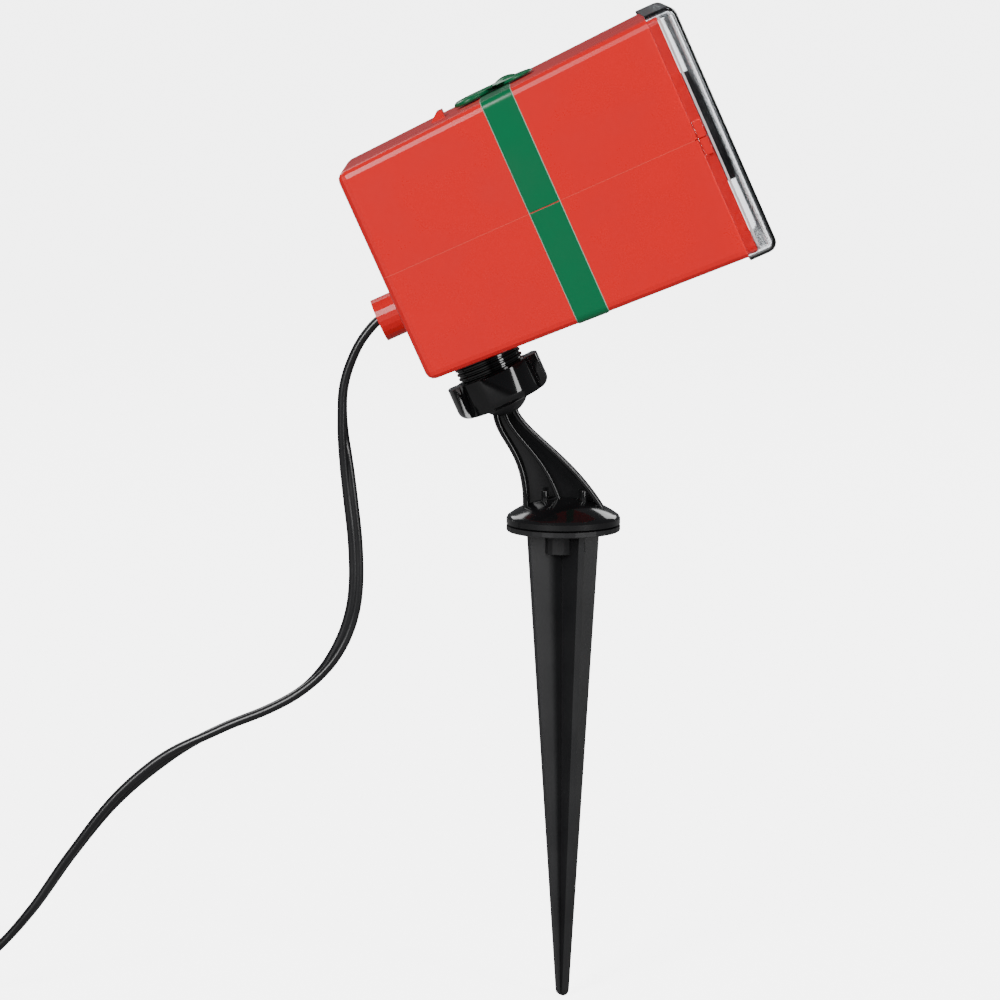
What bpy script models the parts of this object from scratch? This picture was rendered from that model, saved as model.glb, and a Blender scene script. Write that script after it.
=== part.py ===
"""Snowfall effect projector: a gift box head on a ball joint, a ribbed arm and a ground stake.

Metres, +Z up. The origin is the tip of the stake. The beam leaves towards +X, tilted up.
Everything in the head is written in the head's own frame: x runs from the back face to the
front, y across, z up from the mid seam. The frame hangs on the centre of the ball joint.
"""
import math

import bmesh
import bpy
from mathutils import Matrix, Vector

GAP = 0.0003  # clearance left between neighbouring pieces

# Ground stake
STAKE_LENGTH = 0.1740  # tip to the underside of its disc
FIN_REACH = 0.0144  # from the axis to a fin's edge, at the top
FIN_TIP_REACH = 0.0022
FIN_THICKNESS = 0.0024
FIN_TURN = math.radians(27.0)
DISC_RADIUS = 0.0207
DISC_THICKNESS = 0.0020
HUB_RADIUS = 0.0080
HUB_DEPTH = 0.0080
PEG_RADIUS = 0.0048
PEG_LENGTH = 0.0072
SLOT_HALF = 0.0013

# Arm with its domed foot and its ball
DOME_RIM = 0.0030
DOME_RISE = 0.0070
DOME_HOLLOW_RADIUS = 0.0150
NECK_WIDTH = 0.0088
NECK_DEPTH = 0.0072
FOOT_DEPTH = 0.0100
FOOT_LEFT = -0.0148  # outer edges of the arm where it meets the dome
FOOT_RIGHT = 0.0158
FLANGE = 0.0020
WEB = 0.0022
ARM_RIB = 0.0016
RIB_SHARE = 0.47  # place of the middle rib across the arm
PIP_RADIUS = 0.0012
PIP_HEIGHT = 0.0030
PIP_PLACES = (-0.0068, 0.0072)
BALL_RADIUS = 0.0100
BALL_RISE = 0.0498  # ball centre over the top of the stake's disc
BALL_SETBACK = 0.0229
NECK_LEAN = math.radians(12.0)
NECK_START = 0.0070  # from the ball's centre, inside the ball

# Ball clamp
PAD_THICKNESS = 0.0008
PAD_REACH = math.radians(47.0)
RING_TOP = math.radians(80.0)  # angles from the top of the socket's axis
RING_FOOT = math.radians(100.0)
COLLAR_RADIUS = 0.01235
COLLAR_FLANGE_RADIUS = 0.0166
COLLAR_FLANGE = 0.0025
COLLAR_FOOT = 0.0028  # the collar ends this far over the ball's centre
THREAD_PITCH = 0.0017
THREAD_DEPTH = 0.0007
KNOB_TOP = 0.0071  # over the ball's centre
KNOB_HEIGHT = 0.0123
KNOB_BODY_RADIUS = 0.0143
KNOB_RADIUS = 0.01755
KNOB_LOBES = 4
KNOB_LOBE_WIDTH = 0.0130
KNOB_TURN = math.radians(5.5)
KNOB_OPENING = 0.0094
KNOB_LIP = 0.0008
KNOB_EDGE = 0.0030

# Head shells
HEAD_TILT = math.radians(24.1)
HEAD_LENGTH = 0.1240
BACK_HALF = 0.0397  # half height and half width at the back
FRONT_HALF = 0.0452
WALL = 0.0020
CORNER = 0.0030
SOCKET_FROM_BACK = 0.0201
BALL_DROP = 0.0156  # ball centre under the box
PAD_FLOOR = 0.0010  # flat inner pad that the collar's flange sits on
LEDGE_FROM_FRONT = 0.0048
LEDGE = 0.0017
LEDGE_HEIGHT = 0.0022
CASE_SCREW_FROM_BACK = 0.0125
CASE_SCREW_FROM_FRONT = 0.0160
CASE_COLUMN_RADIUS = 0.0043
CASE_SCREW_RADIUS = 0.0013
CASE_SCREW_REACH = 0.0100  # into the upper column
CASE_SCREW_GRIP = 0.0110  # column under the seam that the screw clamps
SCREW_HEAD_RADIUS = 0.0027
SCREW_HEAD = 0.0018
SOCKET_SCREW_RADIUS = 0.0009
SOCKET_SCREW_REACH = 0.0018  # into the floor under the collar's flange
SOCKET_SCREW_HEAD = 0.0012
TOP_BLOCK_FROM_BACK = 0.0400
TOP_BLOCK = (0.0021, 0.0150, 0.0027)
TOP_BLOCK_SLOPE = 0.0044

# Lead entry
BOSS_RADIUS = 0.0079
BOSS_LENGTH = 0.0097
BOSS_UNDER_SEAM = 0.0159
LEAD_DIAMETER = 0.0044
LEAD_HOLE_RADIUS = 0.0032
GROMMET_RADIUS = 0.0052
GROMMET_LENGTH = 0.0090
GROMMET_FLANGE = 0.0066
BOSS_PLATE = 0.0017
CLAMP_HALF = 0.0070
CLAMP_SHELF = 0.0035
CLAMP_ROOF = 0.0015
CLAMP_FROM_BACK = 0.0068
CLAMP_WIDTH = 0.0046
TERMINAL_HEIGHT = 0.0130

# Ribbon and bow
RIBBON_FROM_BACK = 0.0565
RIBBON_WIDTH = 0.0113
RIBBON_THICKNESS = 0.0008
RIBBON_PROUD = 0.0003
BOW_LENGTH = 0.0315
BOW_WIDTH = 0.0240
BOW_RISE = 0.0030
KNOT_AHEAD = 0.0048
KNOT_LENGTH = 0.0103
KNOT_WIDTH = 0.0120
KNOT_RISE = 0.0028
KNOT_SEAT = 0.50  # height of the knot's foot as a share of the bow's
BOW_FOOT = (0.0030, 0.0040)

# Clear cover, seal and mask
COVER_OVERLAP = 0.0038  # skirt length over the shells' rim
COVER_DEPTH = 0.0072  # cover front past the shells' front edge
COVER_WALL = 0.0016
COVER_PROUD = 0.0013
COVER_EDGE = 0.0036
CATCH_HALF = 0.0061
CATCH_LENGTH = 0.0024
SEAL_WIDTH = 0.0012
SEAL_THICKNESS = 0.0008
MASK_THICKNESS = 0.0016
BARREL_RADIUS = 0.0210
BARREL_WALL = 0.0020
BARREL_PROUD = 0.0046  # past the shells' front edge
BARREL_LENGTH = 0.0260
BARREL_FLANGE = 0.0030
LENS_CROWN = 0.0045
LENS_EDGE = 0.0020
LENS_FROM_FRONT = 0.0060
LENS_SEAT = 0.0016
LENS_RING = 0.0018
BARREL_FLANGE_THICKNESS = 0.0016
BARREL_BEVEL = 0.0006

# Pattern drum, its gear train and the lamp inside it
DRUM_FROM_BACK = 0.0657
DRUM_OVER_SEAM = 0.0020
DRUM_RADIUS = 0.0240
DRUM_WALL = 0.0012
DRUM_LENGTH = 0.0400
DRUM_SECTORS = 32
DRUM_ROWS = 6
DRUM_HUB_RADIUS = 0.0040
DRUM_HUB_LENGTH = 0.0040
DRUM_WINDOWS = 8  # in each row
DRUM_WINDOW_HALF = 0.0032
SHAFT_RADIUS = 0.0015
GEAR_MODULE = 0.00075
DRUM_TEETH = 48
PINION_TEETH = 12
GEAR_WIDTH = 0.0026
GEAR_FREE_PLAY = 0.0002
BRACKET_THICKNESS = 0.0016
BRACKET_CLEARANCE = 0.0012  # between the bracket and the gears
BRACKET_POSTS = (-0.0220, 0.0080)  # from the drum's axis
BRACKET_POST = 0.0040
BRACKET_PAST_MOTOR = 0.0120
BRACKET_PAST_DRUM = 0.0130
BRACKET_RISE = 0.0110
MOTOR_NOSE = 0.0034
MOTOR_RADIUS = 0.0100
MOTOR_LENGTH = 0.0095
LAMP_PLATE = 0.0030
LAMP_SETBACK = 0.0085  # the plate's face behind the drum's axis
LAMP_POST_CLEARANCE = 0.0042
LAMP_POST = 0.0120
LAMP_POST_DEPTH = 0.0045
LAMP_ARM = (0.0020, 0.0100)  # the side plate's reach behind and ahead of the face
LAMP_BOARD = 0.0162
LAMP_BOARD_THICKNESS = 0.0014
CHIP_SIZE = 0.0050
CHIP_THICKNESS = 0.0008
CONDENSER_RADIUS = 0.0070
CONDENSER_CROWN = 0.0040
HOLDER_WALL = 0.0012
HOLDER_LENGTH = 0.0080
CONDENSER_LAND = 0.0010  # straight edge of the lens
DRIVER_BOARD = (0.0400, 0.0370, 0.0016)
DRIVER_FROM_BACK = 0.0160
DRIVER_UNDER_SEAM = 0.0270
BOARD_POST = (0.0020, 0.0023)  # half length and half width
BOARD_POST_INSET = 0.0030
BOARD_POST_OUT = 0.0008
CAPACITOR_RADIUS = 0.0040
CAPACITOR_LENGTH = 0.0110
CAPACITOR_PLACE = 0.0070  # in from the board's edge
TRANSFORMER = (0.0120, 0.0110, 0.0095)
TRANSFORMER_PLACE = (0.0150, 0.0030)
TERMINAL = ((0.0010, 0.0075), (-0.0050, 0.0035))  # along and across the board
SMALL_EDGE = 0.0005

# Supply lead: the route leaves the boss, drops beside the arm and runs out to the left
LEAD_ROUTE = (
    (-0.0730, 0.0000, 0.2433),
    (-0.0766, 0.0000, 0.2361),
    (-0.0790, 0.0000, 0.2288),
    (-0.0800, 0.0000, 0.2215),
    (-0.0799, 0.0000, 0.2106),
    (-0.0788, 0.0000, 0.1995),
    (-0.0772, 0.0000, 0.1850),
    (-0.0757, 0.0000, 0.1700),
    (-0.0754, 0.0000, 0.1556),
    (-0.0768, 0.0000, 0.1440),
    (-0.0806, 0.0000, 0.1330),
    (-0.0870, 0.0000, 0.1228),
    (-0.0960, 0.0000, 0.1143),
    (-0.1080, 0.0000, 0.1076),
    (-0.1252, 0.0000, 0.1005),
    (-0.1450, 0.0000, 0.0900),
    (-0.1640, 0.0000, 0.0740),
    (-0.1810, 0.0000, 0.0530),
    (-0.1960, 0.0000, 0.0320),
    (-0.2110, 0.0000, 0.0160),
    (-0.2270, 0.0000, 0.0070),
    (-0.2420, 0.0000, 0.0042),
    (-0.2550, 0.0000, 0.0036),
    (-0.2700, 0.0000, 0.0036),
)
COIL_OUTER = 0.0310
COIL_CENTRE = Vector((-0.2960, COIL_OUTER))
COIL_PITCH = 0.0050
COIL_LAYERS = 4
COIL_TURNS_PER_LAYER = 2
COIL_POINTS = 22
COIL_EXTRA_TURN = 0.5
COIL_RELEASE = 0.0030  # the last half turn leaves the coil by this much
COIL_BASE = 0.0036
TAIL_DROP_RUN = 0.0240
PLUG = (0.0240, 0.0300, 0.0170)
PLUG_AXIS = 0.0086
PLUG_EDGE = 0.0035
BLADE = (0.0063, 0.0170, 0.0015)
BLADE_SPACING = 0.0127
TIE_THICKNESS = 0.0008
TIE_WIDTH = 0.0060
TIE_ANGLE = math.radians(-20.0)

SMOOTH_ANGLE = math.radians(32.0)
FINE = 32
ROUND = 24
SMALL = 12

scene_collection = bpy.context.scene.collection


def clear_scene():
    for old in list(bpy.data.objects):
        bpy.data.objects.remove(old, do_unlink=True)


def material(name, colour, roughness, metallic=0.0, clear=0.0):
    made = bpy.data.materials.new(name)
    made.use_nodes = True
    shader = made.node_tree.nodes["Principled BSDF"]
    shader.inputs["Base Color"].default_value = (*colour, 1.0)
    shader.inputs["Roughness"].default_value = roughness
    shader.inputs["Metallic"].default_value = metallic
    shader.inputs["Transmission Weight"].default_value = clear
    return made


def node(name, shape, look, smooth=True):
    """Turn a bmesh into a named object with its own material."""
    bmesh.ops.recalc_face_normals(shape, faces=shape.faces)
    mesh = bpy.data.meshes.new(name)
    shape.to_mesh(mesh)
    shape.free()
    made = bpy.data.objects.new(name, mesh)
    mesh.materials.append(material(name, *look))
    scene_collection.objects.link(made)
    if smooth:
        mesh.shade_smooth()
        mesh.set_sharp_from_angle(angle=SMOOTH_ANGLE)
    return made


def tool(shape):
    """A nameless helper solid for one Boolean."""
    return node("tool", shape, ((0.5, 0.5, 0.5), 0.5), smooth=False)


def boolean(target, helper, operation):
    step = target.modifiers.new(operation, "BOOLEAN")
    step.operation = operation
    step.solver = "EXACT"
    step.object = helper
    bpy.context.view_layer.update()
    shaped_object = target.evaluated_get(bpy.context.evaluated_depsgraph_get())
    shaped = bpy.data.meshes.new_from_object(shaped_object)
    target.modifiers.clear()
    look = target.data.materials[0]
    target.data = shaped
    shaped.materials.clear()
    shaped.materials.append(look)
    shaped.shade_smooth()
    shaped.set_sharp_from_angle(angle=SMOOTH_ANGLE)
    bpy.data.objects.remove(helper, do_unlink=True)


def cut(target, shape):
    boolean(target, tool(shape), "DIFFERENCE")


def join(target, shape):
    boolean(target, tool(shape), "UNION")


def keep(target, shape):
    boolean(target, tool(shape), "INTERSECT")


def copy_of(source, name):
    made = bpy.data.objects.new(name, source.data.copy())
    made.data.materials.clear()
    look = source.data.materials[0].copy()
    look.name = name
    made.data.materials.append(look)
    scene_collection.objects.link(made)
    return made


def block(low, high):
    """An axis-aligned box between two corners."""
    shape = bmesh.new()
    size = Vector(high) - Vector(low)
    middle = (Vector(high) + Vector(low)) / 2
    place = Matrix.Translation(middle) @ Matrix.Diagonal((*size, 1.0))
    bmesh.ops.create_cube(shape, size=1.0, matrix=place)
    return shape


def soft_block(low, high, edge, segments=2):
    shape = block(low, high)
    bmesh.ops.bevel(shape, geom=list(shape.edges), offset=edge, segments=segments,
                    profile=0.5, affect="EDGES", clamp_overlap=True)
    return shape


def tapered_box(start, end, inset, edge=0.0, segments=3):
    """A box along x whose half width follows the head's taper, less an inset."""
    shape = bmesh.new()
    rings = []
    for x in (start, end):
        half = head_half(x) - inset
        corners = ((-half, -half), (half, -half), (half, half), (-half, half))
        rings.append([shape.verts.new((x, y, z)) for y, z in corners])
    shape.faces.new(rings[0])
    shape.faces.new(rings[1])
    for index in range(4):
        following = (index + 1) % 4
        shape.faces.new((rings[0][index], rings[0][following],
                         rings[1][following], rings[1][index]))
    bmesh.ops.recalc_face_normals(shape, faces=shape.faces)
    if edge > 0.0:
        front = set(rings[1])
        rounded = [e for e in shape.edges if not (e.verts[0] in front and e.verts[1] in front)]
        bmesh.ops.bevel(shape, geom=rounded, offset=edge, segments=segments,
                        profile=0.5, affect="EDGES")
    return shape


def head_half(x):
    """Half height of the head at a distance x from its back face."""
    return BACK_HALF + (FRONT_HALF - BACK_HALF) * x / HEAD_LENGTH


def turned(profile, segments, closed=True):
    """A solid turned about z from (radius, z) points; a radius of 0 becomes a pole."""
    shape = bmesh.new()
    rings = []
    for radius, z in profile:
        if radius < 1e-7:
            rings.append([shape.verts.new((0.0, 0.0, z))])
            continue
        ring = []
        for index in range(segments):
            angle = 2 * math.pi * index / segments
            ring.append(shape.verts.new((radius * math.cos(angle), radius * math.sin(angle), z)))
        rings.append(ring)
    pairs = list(zip(rings, rings[1:]))
    if closed and len(rings[0]) > 1 and len(rings[-1]) > 1:
        pairs.append((rings[-1], rings[0]))
    for one, other in pairs:
        for index in range(segments):
            following = (index + 1) % segments
            if len(one) == 1 and len(other) == 1:
                continue
            if len(one) == 1:
                shape.faces.new((one[0], other[index], other[following]))
            elif len(other) == 1:
                shape.faces.new((one[index], one[following], other[0]))
            else:
                shape.faces.new((one[index], one[following], other[following], other[index]))
    return shape


def cylinder(radius, low, high, segments=ROUND):
    return turned([(0.0, low), (radius, low), (radius, high), (0.0, high)], segments)


def moved(shape, matrix):
    bmesh.ops.transform(shape, matrix=matrix, verts=shape.verts)
    return shape


def at(x, y, z):
    return Matrix.Translation((x, y, z))


ALONG_X = Matrix.Rotation(math.radians(90.0), 4, "Y")
ALONG_Y = Matrix.Rotation(math.radians(-90.0), 4, "X")
GEAR_TURN = Matrix.Rotation(math.radians(90.0), 4, "X") @ Matrix.Scale(-1, 4, (0, 0, 1))


def prism(outline, low, high):
    """An (x, y) outline carried from z low to z high."""
    shape = bmesh.new()
    foot = [shape.verts.new((x, y, low)) for x, y in outline]
    top = [shape.verts.new((x, y, high)) for x, y in outline]
    shape.faces.new(foot)
    shape.faces.new(top)
    for index in range(len(outline)):
        following = (index + 1) % len(outline)
        shape.faces.new((foot[index], foot[following], top[following], top[index]))
    bmesh.ops.recalc_face_normals(shape, faces=shape.faces)
    return shape


def arc(centre, radius, start, end, steps):
    points = []
    for index in range(steps + 1):
        angle = start + (end - start) * index / steps
        points.append((centre[0] + radius * math.cos(angle), centre[1] + radius * math.sin(angle)))
    return points


def sphere_profile(radius, start, end, steps):
    """Points on a sphere about the origin; angles run from the +z pole."""
    points = []
    for index in range(steps + 1):
        angle = start + (end - start) * index / steps
        points.append((radius * math.sin(angle), radius * math.cos(angle)))
    return points


def bezier(points, steps):
    a, b, c, d = [Vector(p) for p in points]
    found = []
    for index in range(steps + 1):
        t = index / steps
        found.append(a * (1 - t) ** 3 + b * 3 * t * (1 - t) ** 2 + c * 3 * t * t * (1 - t) + d * t ** 3)
    return found


disc_top = STAKE_LENGTH + DISC_THICKNESS
ball_centre = Vector((-BALL_SETBACK, 0.0, disc_top + BALL_RISE))
head_turn = Matrix.Rotation(-HEAD_TILT, 4, "Y")
ball_in_head = Vector((SOCKET_FROM_BACK, 0.0, -head_half(SOCKET_FROM_BACK) - BALL_DROP))
head_place = Matrix.Translation(ball_centre) @ head_turn @ Matrix.Translation(-ball_in_head)

RED = ((0.78, 0.045, 0.03), 0.34)
GREEN = ((0.0, 0.16, 0.06), 0.36)
BLACK = ((0.012, 0.012, 0.013), 0.25)
DULL_BLACK = ((0.022, 0.022, 0.024), 0.55)
STEEL = ((0.55, 0.55, 0.57), 0.3, 1.0)
BRASS = ((0.72, 0.52, 0.22), 0.35, 1.0)
CLEAR = ((0.93, 0.95, 0.96), 0.05, 0.0, 1.0)
WHITE = ((0.82, 0.82, 0.80), 0.5)
BOARD = ((0.02, 0.18, 0.07), 0.45)


def in_head(*objects):
    for made in objects:
        made.parent = head_frame


def build_stake():
    fin_root = DISC_THICKNESS / 2
    stake = node("ground_stake", turned([
        (0.0, STAKE_LENGTH - HUB_DEPTH), (HUB_RADIUS, STAKE_LENGTH - HUB_DEPTH),
        (HUB_RADIUS, STAKE_LENGTH + fin_root), (0.0, STAKE_LENGTH + fin_root)], ROUND), (
            (0.03, 0.03, 0.032), 0.5))
    join(stake, turned([
        (0.0, STAKE_LENGTH), (DISC_RADIUS - GAP, STAKE_LENGTH), (DISC_RADIUS, STAKE_LENGTH + GAP),
        (DISC_RADIUS, disc_top), (0.0, disc_top)], FINE))
    for quarter in range(2):
        top = STAKE_LENGTH + fin_root * (0.4 + 0.3 * quarter)
        tip = arc((0.0, FIN_TIP_REACH + quarter * GAP), FIN_TIP_REACH, -math.pi, 0.0, 6)
        outline = [(FIN_REACH, top), (-FIN_REACH, top)] + tip
        fin = prism(outline, -FIN_THICKNESS / 2, FIN_THICKNESS / 2)
        moved(fin, Matrix.Rotation(math.radians(90.0), 4, "X"))
        moved(fin, Matrix.Rotation(FIN_TURN + quarter * math.pi / 2, 4, "Z"))
        join(stake, fin)
    socket_depth = PEG_LENGTH + GAP
    cut(stake, cylinder(PEG_RADIUS + GAP, disc_top - socket_depth, disc_top + WALL, ROUND))
    slot = block((0.0, -SLOT_HALF, disc_top - socket_depth + PEG_RADIUS / 6),
                 (HUB_RADIUS + WALL, SLOT_HALF, STAKE_LENGTH - WALL))
    cut(stake, slot)
    return stake


def arm_section(width, half):
    """Section of the arm: two edge flanges and a middle rib on a thin web, across and in y."""
    middle = width * RIB_SHARE
    web = WEB / 2
    rib = half - WEB / 4
    low = middle - ARM_RIB / 2
    high = middle + ARM_RIB / 2
    near = [(0.0, half), (FLANGE, half), (FLANGE, web), (low, web), (low, rib), (high, rib), (high, web),
            (width - FLANGE, web), (width - FLANGE, half), (width, half)]
    return [(a, -y) for a, y in near] + [(a, y) for a, y in reversed(near)]


def arm_blade(left, right, halves):
    shape = bmesh.new()
    rings = []
    for start, end, half in zip(left, right, halves):
        across = (end - start).normalized()
        section = arm_section((end - start).length, half)
        rings.append([shape.verts.new(start + across * a + Vector((0.0, y, 0.0))) for a, y in section])
    shape.faces.new(rings[0])
    shape.faces.new(rings[-1])
    for near, far in zip(rings, rings[1:]):
        for index in range(len(near)):
            following = (index + 1) % len(near)
            shape.faces.new((near[index], near[following], far[following], far[index]))
    bmesh.ops.recalc_face_normals(shape, faces=shape.faces)
    return shape


def arm_edges(steps):
    """Left and right outlines of the arm, from inside the ball down into the dome."""
    down = Vector((math.sin(NECK_LEAN), 0.0, -math.cos(NECK_LEAN)))
    across = Vector((math.cos(NECK_LEAN), 0.0, math.sin(NECK_LEAN)))
    start = ball_centre + down * NECK_START
    foot_z = disc_top + DOME_RIM + DOME_RISE / 4
    left_top = start - across * NECK_WIDTH / 2
    right_top = start + across * NECK_WIDTH / 2
    left_foot = Vector((FOOT_LEFT, 0.0, foot_z))
    right_foot = Vector((FOOT_RIGHT, 0.0, foot_z))
    left = bezier((left_top, left_top + Vector((0.0008, 0.0, -0.0120)),
                   left_foot + Vector((0.0010, 0.0, 0.0240)), left_foot), steps)
    right = bezier((right_top, right_top + Vector((0.0030, 0.0, -0.0100)),
                    right_foot + Vector((-0.0080, 0.0, 0.0200)), right_foot), steps)
    return left, right


def build_arm():
    steps = 14
    left, right = arm_edges(steps)
    halves = [(NECK_DEPTH + (FOOT_DEPTH - NECK_DEPTH) * i / steps) / 2 for i in range(steps + 1)]
    rim_top = disc_top + GAP + DOME_RIM
    dome_radius = (DISC_RADIUS ** 2 + DOME_RISE ** 2) / (2 * DOME_RISE)
    dome_centre = rim_top + DOME_RISE - dome_radius
    edge_angle = math.asin(DISC_RADIUS / dome_radius)
    cap = [(r, dome_centre + z) for r, z in sphere_profile(dome_radius, edge_angle, 0.0, 5)]
    arm = node("ball_arm", turned([(0.0, disc_top + GAP), (DISC_RADIUS, disc_top + GAP)] + cap, FINE), BLACK)
    join(arm, arm_blade(left, right, halves))
    for x in PIP_PLACES:
        pip = cylinder(PIP_RADIUS, rim_top + DOME_RISE / 2, rim_top + DOME_RISE + PIP_HEIGHT, SMALL)
        join(arm, moved(pip, at(x, -FOOT_DEPTH / 2, 0.0)))
    ball = turned(sphere_profile(BALL_RADIUS, 0.0, math.pi, 14), ROUND)
    join(arm, moved(ball, Matrix.Translation(ball_centre) @ Matrix.Rotation(-NECK_LEAN, 4, "Y")))
    cut(arm, turned([(PEG_RADIUS + WALL / 2, disc_top - WALL), (DOME_HOLLOW_RADIUS, disc_top - WALL),
                     (DOME_HOLLOW_RADIUS, disc_top + GAP + DOME_RIM),
                     (PEG_RADIUS + WALL / 2, disc_top + GAP + DOME_RIM)], ROUND))
    join(arm, cylinder(PEG_RADIUS, disc_top - PEG_LENGTH, disc_top + DOME_RIM, ROUND))
    return arm


def build_shells():
    """The red box in two halves, with everything that is moulded into them."""
    rim_step = COVER_WALL - COVER_PROUD + GAP
    step_at = HEAD_LENGTH - COVER_OVERLAP
    whole = node("upper_shell", tapered_box(0.0, step_at, 0.0, CORNER), RED)
    join(whole, tapered_box(CORNER, HEAD_LENGTH, rim_step, CORNER - rim_step))
    ledge_back = HEAD_LENGTH - LEDGE_FROM_FRONT
    ledge_front = ledge_back + LEDGE
    room = tool(tapered_box(WALL, ledge_back, WALL, CORNER - WALL, 1))
    leave_inner_features(room)
    boolean(whole, room, "DIFFERENCE")
    cut(whole, tapered_box(ledge_back - WALL, HEAD_LENGTH + WALL, WALL + LEDGE_HEIGHT))
    cut(whole, tapered_box(ledge_front, HEAD_LENGTH + WALL, WALL))
    groove_start = RIBBON_FROM_BACK - GAP
    groove_end = RIBBON_FROM_BACK + RIBBON_WIDTH + GAP
    groove = tool(block((groove_start, -1.0, -1.0), (groove_end, 1.0, 1.0)))
    cut(groove, tapered_box(0.0, HEAD_LENGTH, RIBBON_THICKNESS, CORNER))
    boolean(whole, groove, "DIFFERENCE")
    for side in (-1, 1):
        half = head_half(step_at)
        catch_at = step_at + (COVER_OVERLAP - CATCH_LENGTH) / 2
        reach = sorted((side * (half - WALL / 2), side * (half + COVER_PROUD - GAP)))
        catch_end = catch_at + CATCH_LENGTH
        join(whole, block((catch_at, reach[0], -CATCH_HALF), (catch_end, reach[1], CATCH_HALF)))
    for x, y in case_screw_places():
        ceiling = head_half(x) - WALL / 2
        low = -ceiling - WALL * 2
        high = CASE_SCREW_REACH + WALL
        wide = SCREW_HEAD_RADIUS + GAP
        slim = CASE_SCREW_RADIUS + GAP
        bore = turned([(0.0, low), (wide, low), (wide, -CASE_SCREW_GRIP), (slim, -CASE_SCREW_GRIP),
                       (slim, high), (0.0, high)], SMALL)
        cut(whole, moved(bore, at(x, y, 0.0)))
    lower = copy_of(whole, "lower_shell")
    far = HEAD_LENGTH * 2
    keep(whole, block((-far, -far, GAP / 2), (far, far, far)))
    keep(lower, block((-far, -far, -far), (far, far, -GAP / 2)))
    block_top = head_half(TOP_BLOCK_FROM_BACK) + TOP_BLOCK[2]
    block_foot = head_half(TOP_BLOCK_FROM_BACK) - WALL / 2
    block_end = TOP_BLOCK_FROM_BACK + TOP_BLOCK[0]
    side_view = [(TOP_BLOCK_FROM_BACK - TOP_BLOCK_SLOPE, block_foot), (TOP_BLOCK_FROM_BACK, block_top),
                 (block_end, block_top), (block_end, block_foot)]
    raised = prism(side_view, -TOP_BLOCK[1] / 2, TOP_BLOCK[1] / 2)
    join(whole, moved(raised, Matrix.Rotation(math.radians(90.0), 4, "X")))
    build_lower_features(lower)
    return whole, lower


def case_screw_places():
    places = []
    for x in (CASE_SCREW_FROM_BACK, HEAD_LENGTH - CASE_SCREW_FROM_FRONT):
        for side in (-1, 1):
            places.append((x, side * (head_half(x) - WALL - CASE_COLUMN_RADIUS + WALL / 4)))
    return places


def floor_at(x):
    return -head_half(x) + WALL


def pad_top():
    """Height of the flat pad inside the floor, around the ball socket."""
    return floor_at(SOCKET_FROM_BACK - COLLAR_FLANGE_RADIUS) + PAD_FLOOR


def leave_inner_features(room):
    """Columns, posts and the socket's pad, left standing when the room is cut out of the box."""
    for x, y in case_screw_places():
        cut(room, moved(cylinder(CASE_COLUMN_RADIUS, -FRONT_HALF, FRONT_HALF, SMALL), at(x, y, 0.0)))
    pad = cylinder(COLLAR_FLANGE_RADIUS, -FRONT_HALF, pad_top(), FINE)
    cut(room, moved(pad, at(SOCKET_FROM_BACK, 0.0, 0.0)))
    board_foot = -DRIVER_UNDER_SEAM - DRIVER_BOARD[2] / 2 - GAP
    board_end = DRIVER_FROM_BACK + DRIVER_BOARD[0]
    for x in (DRIVER_FROM_BACK + BOARD_POST_INSET, board_end - BOARD_POST_INSET):
        for side in (-1, 1):
            y = side * (DRIVER_BOARD[1] / 2 + BOARD_POST_OUT)
            cut(room, block((x - BOARD_POST[0], y - BOARD_POST[1], -FRONT_HALF),
                            (x + BOARD_POST[0], y + BOARD_POST[1], board_foot)))
    clamp_top = -BOSS_UNDER_SEAM - LEAD_DIAMETER / 2 - GAP
    shelf = -BOSS_UNDER_SEAM - GROMMET_FLANGE - GAP
    clamp_end = CLAMP_FROM_BACK + CLAMP_WIDTH / 2
    cut(room, block((WALL / 2, -CLAMP_HALF, shelf - CLAMP_SHELF), (clamp_end, CLAMP_HALF, shelf)))
    clamp_start = clamp_end - CLAMP_WIDTH
    cut(room, block((clamp_start, -CLAMP_HALF, shelf - WALL), (clamp_end, CLAMP_HALF, clamp_top)))
    y = bracket_y() - BRACKET_THICKNESS / 2
    for x in (DRUM_FROM_BACK + BRACKET_POSTS[0], DRUM_FROM_BACK + BRACKET_POSTS[1]):
        cut(room, block((x - BRACKET_POST, y - BRACKET_POST, -FRONT_HALF),
                        (x + BRACKET_POST, y - BRACKET_THICKNESS / 2 - GAP, floor_at(x) + BRACKET_POST * 2)))
    y = lamp_post_y() + LAMP_PLATE
    cut(room, block((lamp_plate_x() - LAMP_POST / 2, y + GAP, -FRONT_HALF),
                    (lamp_plate_x() + LAMP_POST, y + LAMP_POST_DEPTH, floor_at(DRUM_FROM_BACK) + LAMP_POST)))


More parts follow.
